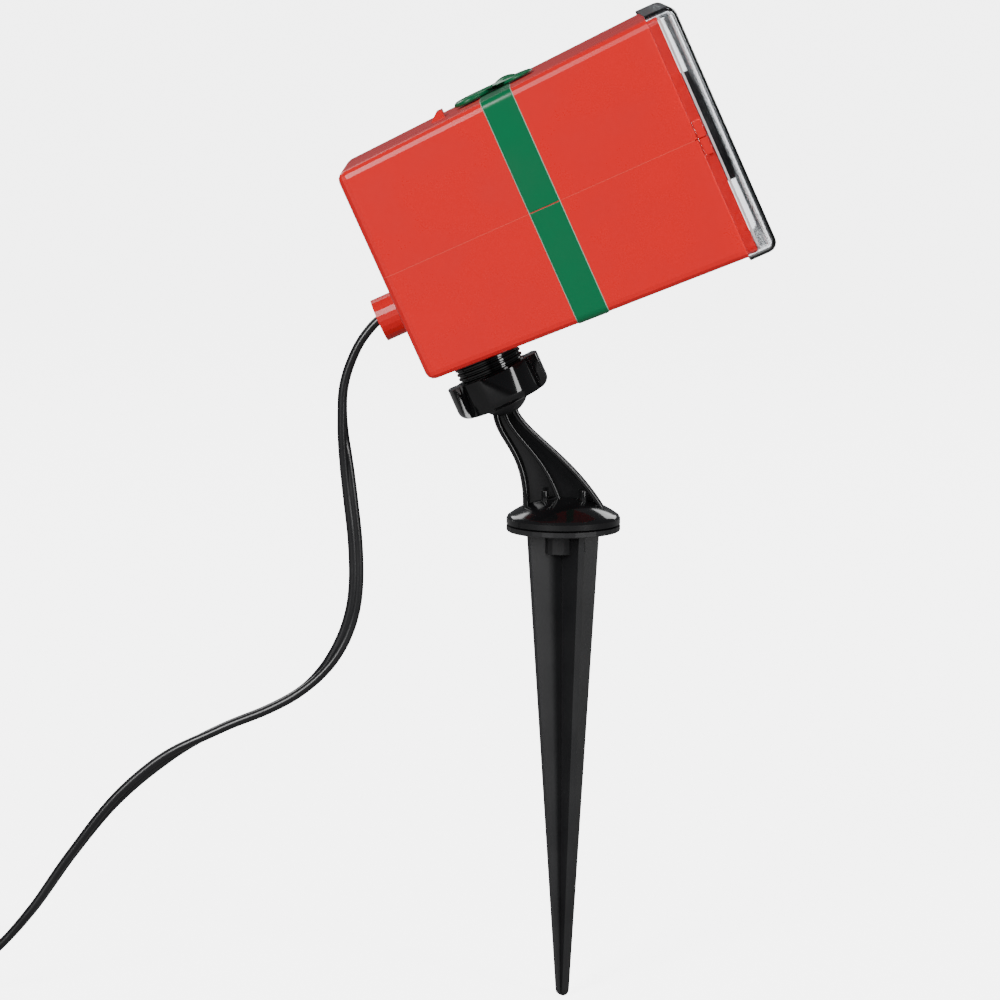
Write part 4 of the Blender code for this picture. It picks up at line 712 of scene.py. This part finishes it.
heading = coil[-1] - coil[-2]
heading.z = 0.0
heading.normalize()
plug_start = coil[-1] + heading * PLUG_AHEAD
plug_start.z = PLUG_AXIS
ease = heading * TAIL_EASE
tail = bezier(coil[-1], coil[-1] + ease, plug_start - ease, plug_start, TAIL_STEPS)
floor_line = free_line[fall_end:] + coil[1:] + tail[1:]
upright = Vector((0.0, 0.0, 1.0))
aside = heading.cross(upright)
floor_wides = free_wides[fall_end:] + [upright * -1.0] * (len(coil) - 1)
for i in range(1, TAIL_STEPS + 1):
    turn = gently(math.radians(90.0), i / TAIL_STEPS)
    floor_wides.append(upright * -math.cos(turn) + aside * math.sin(turn))
lead_run = lead_piece("lead_run", floor_line, floor_wides)


# Plug grip, with a narrow neck where the lead goes in

PLUG_SIZE = (0.029, 0.0235, 0.0165)
PLUG_RINGS = (0.006, 0.010, 0.0125, 0.015, 0.0175, 0.020, 0.0225)
NECK_SHARES = (1.0, 0.42, 0.50)
PLUG_EDGE = 0.0022

let_go()
plug_turn = Matrix.Rotation(math.atan2(heading.y, heading.x), 4, "Z")
plug_place = Matrix.Translation((plug_start.x, plug_start.y, PLUG_AXIS)) @ plug_turn
bpy.ops.mesh.primitive_cube_add(size=1.0, location=(PLUG_SIZE[0] / 2, 0.0, 0.0), scale=PLUG_SIZE)
plug = named("plug_grip")
edit(plug)
for reach in PLUG_RINGS:
    bpy.ops.mesh.select_all(action="SELECT")
    bpy.ops.mesh.bisect(plane_co=(reach, 0.0, 0.0), plane_no=(1.0, 0.0, 0.0))
# Its corners are still counted from its middle here, so these are the ones in its back half
pick(plug, "VERT", lambda corner: corner.co.x < 0.0)
bpy.ops.transform.resize(value=NECK_SHARES, center_override=(0.0, 0.0, 0.0))
let_go()
placed(plug, plug_place)
rounded(plug, PLUG_EDGE, 4, 30.0)


# Tie: a strap round one place of the coil

TIE_ANGLE = math.radians(-20.0)
TIE_WIDTH = 0.0058
STRAP = 0.0007
TIE_GAP = 0.0006
TIE_GAP_BELOW = 0.0003
TIE_GAP_ABOVE = 0.0004
TIE_SLACK = 0.0008
TIE_SLACK_UP = 0.0006

tie_in = COIL_OUTER - TURN_STEP * TURNS_PER_LAYER - CORE_RADIUS - TIE_GAP
tie_out = COIL_OUTER + CORE_RADIUS + TIE_GAP
tie_low = COIL_BASE - LEAD_WIDTH / 2 - TIE_GAP_BELOW
tie_high = COIL_BASE + LAYER_STEP * (COIL_LAYERS - 1) + LEAD_WIDTH / 2 + TIE_GAP_ABOVE
let_go()
bpy.ops.mesh.primitive_cube_add(size=1.0, location=((tie_in + tie_out) / 2, 0.0, (tie_low + tie_high) / 2),
                                scale=(tie_out - tie_in + TIE_SLACK, TIE_WIDTH,
                                       tie_high - tie_low + TIE_SLACK_UP))
tie = named("coil_tie")
edit(tie)
pick(tie, "FACE", lambda face: abs(face.normal.y) > 0.5)
bpy.ops.mesh.delete(type="FACE")
let_go()
outward(tie)
wall = tie.modifiers.new("strap", "SOLIDIFY")
wall.thickness = STRAP
wall.offset = 0.0
apply_steps(tie)
placed(tie, Matrix.Translation((COIL_CENTRE.x, COIL_CENTRE.y, 0.0)) @ Matrix.Rotation(TIE_ANGLE, 4, "Z"))


# Clamp knob: four lobes round a bore that ends in a ball seat. Heights are from the ball's centre

KNOB_TOP = 0.0071
KNOB_LOW = -0.0052
KNOB_ROOT = 0.01445
LOBE_REACH = 1.2145
LOBE_HALF = 22.0
LOBE_TIP = 0.0172
LOBE_UNDERCUT = 0.0034
KNOB_EDGE = 0.0009
KNOB_REST = math.radians(5.5)
NEAR = 0.0001
SEAT_RADIUS = 0.0114
BORE_RADIUS = 0.01265
BORE_LOW = 0.0020
SEAT_LOW = -0.0044
MOUTH_RADIUS = 0.0094
CLEAR_OF_KNOB = 0.02

knob = cylinder("hand_knob", 96, KNOB_ROOT, KNOB_TOP - KNOB_LOW, (0.0, 0.0, (KNOB_TOP + KNOB_LOW) / 2))
placed(knob, Matrix.Identity(4))
edit(knob)


def on_lobe(face):
    """Whether a face of the side is on one of the four lobes."""
    if abs(face.normal.z) > 0.5:
        return False
    middle = face.calc_center_median()
    angle = math.degrees(math.atan2(middle.y, middle.x)) % 90.0
    return min(angle, 90.0 - angle) < LOBE_HALF


def under_lobe(edge):
    """Whether an edge is the lower one of a lobe's outer side."""
    return all(v.co.z < KNOB_LOW + NEAR and v.co.xy.length > LOBE_TIP for v in edge.verts)


pick(knob, "FACE", on_lobe)
bpy.ops.mesh.extrude_region_move(TRANSFORM_OT_translate={"value": (0.0, 0.0, 0.0)})
bpy.ops.transform.resize(value=(LOBE_REACH, LOBE_REACH, 1.0), center_override=(0.0, 0.0, 0.0))
pick(knob, "EDGE", under_lobe)
bpy.ops.mesh.bevel(offset=LOBE_UNDERCUT, segments=6, affect="EDGES")
let_go()
rounded(knob, KNOB_EDGE, 3, 32.0)
bore = [(0.0, CLEAR_OF_KNOB), (BORE_RADIUS, CLEAR_OF_KNOB), (BORE_RADIUS, BORE_LOW)]
bore += ball_profile(SEAT_RADIUS, math.acos(BORE_LOW / SEAT_RADIUS), math.acos(SEAT_LOW / SEAT_RADIUS), 10)
bore += [(MOUTH_RADIUS, SEAT_LOW), (MOUTH_RADIUS, -CLEAR_OF_KNOB), (0.0, -CLEAR_OF_KNOB)]
cut_with(knob, turned("bore", bore))
placed(knob, IN_SOCKET @ Matrix.Rotation(KNOB_REST, 4, "Z"))
ready(knob, "knob", ["clamp_knob"], gloss_black)


# Threaded collar under the head, with a plate that four screws hold

PLATE_TOP = 0.02214
PLATE_LOW = 0.01964
PLATE_RADIUS = 0.0163
THREAD_TOP = 0.0140
THREAD_STEP = 0.0017
CREST_RADIUS = 0.01235
ROOT_RADIUS = 0.01165
COLLAR_LOW = 0.0028
# Drops below a thread's top: the end of its crest, the start and end of its root, the next crest
THREAD_DROPS = (0.0004, 0.0008, 0.0011, 0.0015)
SCREW_CIRCLE = 0.014475
SCREW_HOLE = 0.0012
SCREW_HOLE_DEPTH = 0.008
SCREW_HOLE_MIDDLE = 0.0209

collar_outline = [(0.0, PLATE_TOP), (PLATE_RADIUS, PLATE_TOP), (PLATE_RADIUS, PLATE_LOW),
                  (CREST_RADIUS, PLATE_LOW)]
height = THREAD_TOP
while height > COLLAR_LOW + THREAD_STEP:
    collar_outline.append((CREST_RADIUS, height))
    for radius, drop in zip((CREST_RADIUS, ROOT_RADIUS, ROOT_RADIUS, CREST_RADIUS), THREAD_DROPS):
        collar_outline.append((radius, height - drop))
    height -= THREAD_STEP
collar_outline.append((ROOT_RADIUS, COLLAR_LOW))
collar_outline += ball_profile(SEAT_RADIUS, math.acos(COLLAR_LOW / SEAT_RADIUS), 0.0, 14)
collar = turned("threaded_collar", collar_outline)
for quarter in range(4):
    angle = math.radians(45.0 + 90.0 * quarter)
    middle = (SCREW_CIRCLE * math.cos(angle), SCREW_CIRCLE * math.sin(angle), SCREW_HOLE_MIDDLE)
    cut_with(collar, cylinder("screw_hole", 24, SCREW_HOLE, SCREW_HOLE_DEPTH, middle))
placed(collar, IN_SOCKET)
ready(collar, "head", ["ball_socket"], gloss_black, 25.0)


# Arm: two flanges, a middle rib and a web from the neck under the ball down to the dome

LEAN = math.radians(12.0)
NECK_DROP = 0.0070
NECK_HALF = 0.0044
LEFT_FOOT = Vector((-0.0148, 0.0, 0.18075))
RIGHT_FOOT = Vector((0.0158, 0.0, 0.18075))
LEFT_PULLS = (Vector((0.0008, 0.0, -0.0120)), Vector((0.0010, 0.0, 0.0240)))
RIGHT_PULLS = (Vector((0.0022, 0.0, -0.0100)), Vector((0.0205, 0.0, -0.0175)))
ARM_STEPS = 40
NECK_DEPTH = 0.0072
FOOT_DEPTH = 0.0100
FLANGE = 0.0020
FLANGE_EDGE = 0.0006
RIB_SHARE = 0.47
RIB_HALF = 0.0008
RIB_INSET = 0.0006
RIB_EDGE = 0.0005
WEB_INSET = 0.0010
WEB_HALF = 0.0011
WEB_EDGE = 0.0002

down = Vector((math.sin(LEAN), 0.0, -math.cos(LEAN)))
across = Vector((math.cos(LEAN), 0.0, math.sin(LEAN)))
neck = BALL_CENTRE + down * NECK_DROP
left_top = neck - across * NECK_HALF
right_top = neck + across * NECK_HALF
left_line = bezier(left_top, left_top + LEFT_PULLS[0], LEFT_FOOT + LEFT_PULLS[1], LEFT_FOOT, ARM_STEPS)
right_line = bezier(right_top, right_top + RIGHT_PULLS[0], right_top + RIGHT_PULLS[1], RIGHT_FOOT, ARM_STEPS)
depths = [(NECK_DEPTH + (FOOT_DEPTH - NECK_DEPTH) * i / ARM_STEPS) / 2 for i in range(ARM_STEPS + 1)]


def upright_strip(name, low_share, low_more, high_share, high_more, depth_of, soft):
    """A strip down the arm between two places across it, as deep in y as its own measure."""
    rings = []
    for i in range(ARM_STEPS + 1):
        side = right_line[i] - left_line[i]
        unit = side.normalized()
        a = left_line[i] + side * low_share + unit * low_more
        b = left_line[i] + side * high_share + unit * high_more
        depth = Vector((0.0, depth_of(i), 0.0))
        rings.append([a - depth, b - depth, b + depth, a + depth])
    return rounded(lofted(name, rings), soft, 3, 40.0)


arm_parts = [
    upright_strip("left_flange", 0.0, 0.0, 0.0, FLANGE, lambda i: depths[i], FLANGE_EDGE),
    upright_strip("right_flange", 1.0, -FLANGE, 1.0, 0.0, lambda i: depths[i], FLANGE_EDGE),
    upright_strip("middle_rib", RIB_SHARE, -RIB_HALF, RIB_SHARE, RIB_HALF,
                  lambda i: depths[i] - RIB_INSET, RIB_EDGE),
    upright_strip("web", 0.0, WEB_INSET, 1.0, -WEB_INSET, lambda i: WEB_HALF, WEB_EDGE),
]


# Dome under the arm, hollow below, with a stub that goes into the stake

STUB_LOW = 0.1690
STUB_RADIUS = 0.0048
STUB_EDGE = 0.0004
DOME_LOW = 0.1763
HOLLOW_TOP = 0.1795
HOLLOW_RADIUS = 0.0150
DISC_RADIUS = 0.0207
DISC_EDGE = 0.0004
RIM_TOP = 0.1793
RIM_EDGE = 0.0006
DOME_RISE = 0.0070
DOME_BEND = (DISC_RADIUS ** 2 + DOME_RISE ** 2) / (2 * DOME_RISE)
DOME_START = math.asin(DISC_RADIUS / DOME_BEND) * 0.97
PIP_PLACES = ((-0.0068, -0.0050, 0.1859), (0.0072, -0.0050, 0.1859))
PIP_RADIUS = 0.0012
PIP_HEIGHT = 0.0068
SMALL_EDGE = 0.0003

dome = [(0.0, STUB_LOW), (STUB_RADIUS - STUB_EDGE, STUB_LOW), (STUB_RADIUS, STUB_LOW + STUB_EDGE),
        (STUB_RADIUS, DOME_LOW), (STUB_RADIUS, HOLLOW_TOP), (HOLLOW_RADIUS, HOLLOW_TOP),
        (HOLLOW_RADIUS, DOME_LOW), (DISC_RADIUS - DISC_EDGE, DOME_LOW), (DISC_RADIUS, DOME_LOW + DISC_EDGE),
        (DISC_RADIUS, RIM_TOP - RIM_EDGE), (DISC_RADIUS - 0.0003, RIM_TOP - 0.0001)]
dome += [(r, RIM_TOP + DOME_RISE - DOME_BEND + z) for r, z in ball_profile(DOME_BEND, DOME_START, 0.0, 18)]
arm_parts.append(turned("dome", dome))
for place in PIP_PLACES:
    pip = cylinder("pip", 32, PIP_RADIUS, PIP_HEIGHT, place)
    arm_parts.append(rounded(pip, SMALL_EDGE, 3, 40.0))


# Corner gusset: a thin shelf from the arm down over the dome, along these (x, z) places

SHELF = ((-0.0012, 0.18670), (-0.0034, 0.18635), (-0.0066, 0.18560), (-0.0100, 0.18465), (-0.0140, 0.18320))
SHELF_HALF = 0.0042
SHELF_THICKNESS = 0.0011

shelf = []
for x, z in SHELF:
    low = z - SHELF_THICKNESS
    shelf.append([Vector((x, -SHELF_HALF, z)), Vector((x, -SHELF_HALF, low)),
                  Vector((x, SHELF_HALF, low)), Vector((x, SHELF_HALF, z))])
arm_parts.append(rounded(lofted("shelf", shelf), SMALL_EDGE, 2, 40.0))
arm = joined("arm_casting", arm_parts)
ready(arm, "stand", ["ball_arm"], gloss_black, 30.0)

BALL_RADIUS = 0.0100
ball = turned("arm_ball", ball_profile(BALL_RADIUS, 0.0, math.pi, 40))
placed(ball, Matrix.Translation(BALL_CENTRE))
dressed(ball, ball_black, 60.0)
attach(ball, "stand")


# Bow: two low moulded loops and a pleated knot on top of the head

BOW_MIDDLE = 0.06215
BOW_LIFT = 0.0006
BOW_SEAT = half_at(BOW_MIDDLE) + BOW_LIFT
ON_TOP = IN_HEAD @ Matrix.Translation((BOW_MIDDLE, 0.0, BOW_SEAT)) @ Matrix.Rotation(-TAPER, 4, "Y")
LOOP_ROOT = -0.0012
LOOP_LENGTH = 0.0167
LOOP_HALF = 0.0120
LOOP_NARROW = 0.34
LOOP_THICKNESS = 0.0012
# Rows of (inset, rise): up to the raised rim, then down to the sunk middle
LOOP_INSETS = ((0.0012, 0.0008), (0.0014, -0.0007))
LOOP_LAST_INSET = 0.0012
LOOP_TIP = 0.0155
LOOP_EDGE = 0.0004
FRONT_FALL = 0.55
KNOT_AHEAD = 0.0048
KNOT_HALF = (0.00515, 0.0060, 0.0024)
KNOT_LIFT = 0.0002
KNOT_FLAT = -0.1
PLEATS = 9.0
PLEAT_DEPTH = 0.05


def bow_loop(name, side, fall):
    """One loop: a teardrop with a raised rim and a sunk middle, lower at its tip by a share."""
    let_go()
    bpy.ops.mesh.primitive_circle_add(vertices=48, radius=1.0, fill_type="NGON", location=(0.0, 0.0, 0.0))
    piece = named(name)
    for corner in piece.data.vertices:
        angle = math.atan2(corner.co.y, corner.co.x)
        along = 0.5 + 0.5 * math.cos(angle)
        wide = math.sin(angle) * (LOOP_NARROW + (1.0 - LOOP_NARROW) * along ** 0.8)
        corner.co = (side * (LOOP_ROOT + LOOP_LENGTH * along), wide * LOOP_HALF, 0.0)
    edit(piece)
    bpy.ops.mesh.select_all(action="SELECT")
    bpy.ops.mesh.extrude_region_move(TRANSFORM_OT_translate={"value": (0.0, 0.0, LOOP_THICKNESS)})
    for inset, rise in LOOP_INSETS:
        bpy.ops.mesh.inset(thickness=inset)
        bpy.ops.transform.translate(value=(0.0, 0.0, rise))
    bpy.ops.mesh.inset(thickness=LOOP_LAST_INSET)
    let_go()
    outward(piece)
    for corner in piece.data.vertices:
        corner.co.z *= 1.0 - fall * min(1.0, abs(corner.co.x) / LOOP_TIP)
    return rounded(piece, LOOP_EDGE, 2, 30.0)


bow = joined("ribbon_bow", [bow_loop("loop_back", -1.0, 0.0), bow_loop("loop_front", 1.0, FRONT_FALL)])
placed(bow, ON_TOP)
ready(bow, "head", ["bow_loops"], green_plastic, 50.0)
let_go()
bpy.ops.mesh.primitive_uv_sphere_add(segments=48, ring_count=24, radius=1.0, location=(0.0, 0.0, 0.0))
knot = named("ribbon_knot")
for corner in knot.data.vertices:
    x, y, z = corner.co
    pleat = 1.0 + PLEAT_DEPTH * math.cos(PLEATS * y) * (1.0 - abs(x))
    corner.co = (KNOT_AHEAD + x * KNOT_HALF[0], y * KNOT_HALF[1],
                 KNOT_LIFT + max(z, KNOT_FLAT) * KNOT_HALF[2] * pleat)
placed(knot, ON_TOP)
outward(knot)
ready(knot, "head", ["bow_knot"], green_plastic, 60.0)


# The tongue that closes the seam between the two shells, just under their skins, in a lighter red than the
# shells: a painted highlight along the seam

TONGUE_DEPTH = 0.00007
TONGUE_HALF = 0.000145
TONGUE_THICKNESS = 0.0009
TONGUE_RUN = HEAD_LENGTH - 0.0048
TONGUE_PLACES = (TONGUE_RUN, 0.0900, 0.0450)
BACK_CORNER = 0.0030
BACK_CORNER_STEPS = 8


def seam_tongue():
    """A strip round the head's outline in the seam's plane, open at the front."""
    side = [(x, half_at(x)) for x in TONGUE_PLACES]
    for i in range(BACK_CORNER_STEPS + 1):
        angle = math.pi / 2 * i / BACK_CORNER_STEPS
        side.append((BACK_CORNER - BACK_CORNER * math.sin(angle),
                     half_at(BACK_CORNER) - BACK_CORNER + BACK_CORNER * math.cos(angle)))
    line = side + [(x, -y) for x, y in reversed(side)]
    lift = Vector((0.0, 0.0, TONGUE_HALF))
    rings = []
    for i, (x, y) in enumerate(line):
        x0, y0 = line[max(i - 1, 0)]
        x1, y1 = line[min(i + 1, len(line) - 1)]
        along = Vector((x1 - x0, y1 - y0, 0.0)).normalized()
        inward = Vector((-along.y, along.x, 0.0))
        outer = Vector((x, y, 0.0)) + inward * TONGUE_DEPTH
        inner = Vector((x, y, 0.0)) + inward * (TONGUE_DEPTH + TONGUE_THICKNESS)
        rings.append([outer - lift, outer + lift, inner + lift, inner - lift])
    return lofted("seam_tongue", rings)


tongue = seam_tongue()
placed(tongue, IN_HEAD)
dressed(tongue, seam_highlight_red, 40.0)
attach(tongue, "head")


# Thin pale green bands in the gaps along the ribbon's two sides: a painted highlight, for the light that
# catches the ribbon's edges

EDGE_PLACES = (0.05635, 0.06795)
EDGE_HALF = 0.00013
EDGE_CORNER = 0.0030
EDGE_CORNER_STEPS = 6
EDGE_LIFT = 0.00002
EDGE_THICKNESS = 0.0009
EDGE_BREAK = 0.0001


def ribbon_edge(name, x):
    """A thin band of painted highlight round the head at a distance from its back face."""
    half = half_at(x) + EDGE_LIFT
    middle = half - EDGE_CORNER
    line = [(0.0, -half)]
    for quarter, centre in enumerate(((middle, -middle), (middle, middle), (-middle, middle),
                                      (-middle, -middle))):
        for i in range(EDGE_CORNER_STEPS + 1):
            angle = math.radians(-90.0 + 90.0 * quarter + 90.0 * i / EDGE_CORNER_STEPS)
            line.append((centre[0] + EDGE_CORNER * math.cos(angle),
                         centre[1] + EDGE_CORNER * math.sin(angle)))
    line.append((-EDGE_BREAK, -half))
    inner = 1.0 - EDGE_THICKNESS / half
    low = x - EDGE_HALF
    high = x + EDGE_HALF
    rings = []
    for y, z in line:
        rings.append([Vector((low, y, z)), Vector((high, y, z)), Vector((high, y * inner, z * inner)),
                      Vector((low, y * inner, z * inner))])
    piece = lofted(name, rings)
    placed(piece, IN_HEAD)
    dressed(piece, edge_highlight_green, 40.0)
    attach(piece, "head")


ribbon_edge("ribbon_edge_back", EDGE_PLACES[0])
ribbon_edge("ribbon_edge_front", EDGE_PLACES[1])


# The front cover and the two halves of the ribbon, with their sharp edges rounded over

COVER_EDGE = 0.00035
RIBBON_EDGE = 0.00022
for node, name, width, look in (("front_cover", "clear_front", COVER_EDGE, clear_cover),
                                ("upper_ribbon", "ribbon_upper", RIBBON_EDGE, green_plastic),
                                ("lower_ribbon", "ribbon_lower", RIBBON_EDGE, green_plastic)):
    copy = softened(node, name, width)
    ready(copy, "head", [node], look, 40.0)
    evened_shading(copy)


# Lens barrel: a flanged tube with a wider mouth. Distances are from the head's back face

BARREL_FRONT = HEAD_LENGTH + 0.0046
BARREL_BACK = BARREL_FRONT - 0.0260
BARREL_BORE = 0.0174
BARREL_RADIUS = 0.0210
BARREL_FLANGE = 0.0240
FLANGE_BACK = 0.11900
FLANGE_FRONT = 0.12060
BARREL_CHAMFER = 0.0006
BARREL_MOUTH = 0.0190
MOUTH_BACK = BARREL_FRONT - 0.0073

barrel = turned("barrel", [
    (BARREL_BORE, BARREL_BACK), (BARREL_RADIUS, BARREL_BACK), (BARREL_RADIUS, FLANGE_BACK),
    (BARREL_FLANGE, FLANGE_BACK), (BARREL_FLANGE, FLANGE_FRONT), (BARREL_RADIUS, FLANGE_FRONT),
    (BARREL_RADIUS, BARREL_FRONT - BARREL_CHAMFER), (BARREL_RADIUS - BARREL_CHAMFER, BARREL_FRONT),
    (BARREL_MOUTH, BARREL_FRONT), (BARREL_MOUTH, MOUTH_BACK), (BARREL_BORE, MOUTH_BACK),
])
placed(barrel, IN_HEAD @ Matrix.Rotation(math.radians(90.0), 4, "Y"))
ready(barrel, "head", ["lens_barrel"], barrel_black)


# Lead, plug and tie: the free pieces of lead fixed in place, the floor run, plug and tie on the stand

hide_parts("lead_free")
for piece, one, other, line in ((lead_top, "head", "ring", top_line),
                                (lead_drop, "ring", "pad", drop_line),
                                (lead_fall, "pad", "stand", fall_line)):
    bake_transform(piece)
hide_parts("lead_coil")
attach(lead_run, "stand")
ready(plug, "stand", ["plug_body"], soft_rubber)
ready(tie, "stand", ["lead_tie"], soft_rubber)
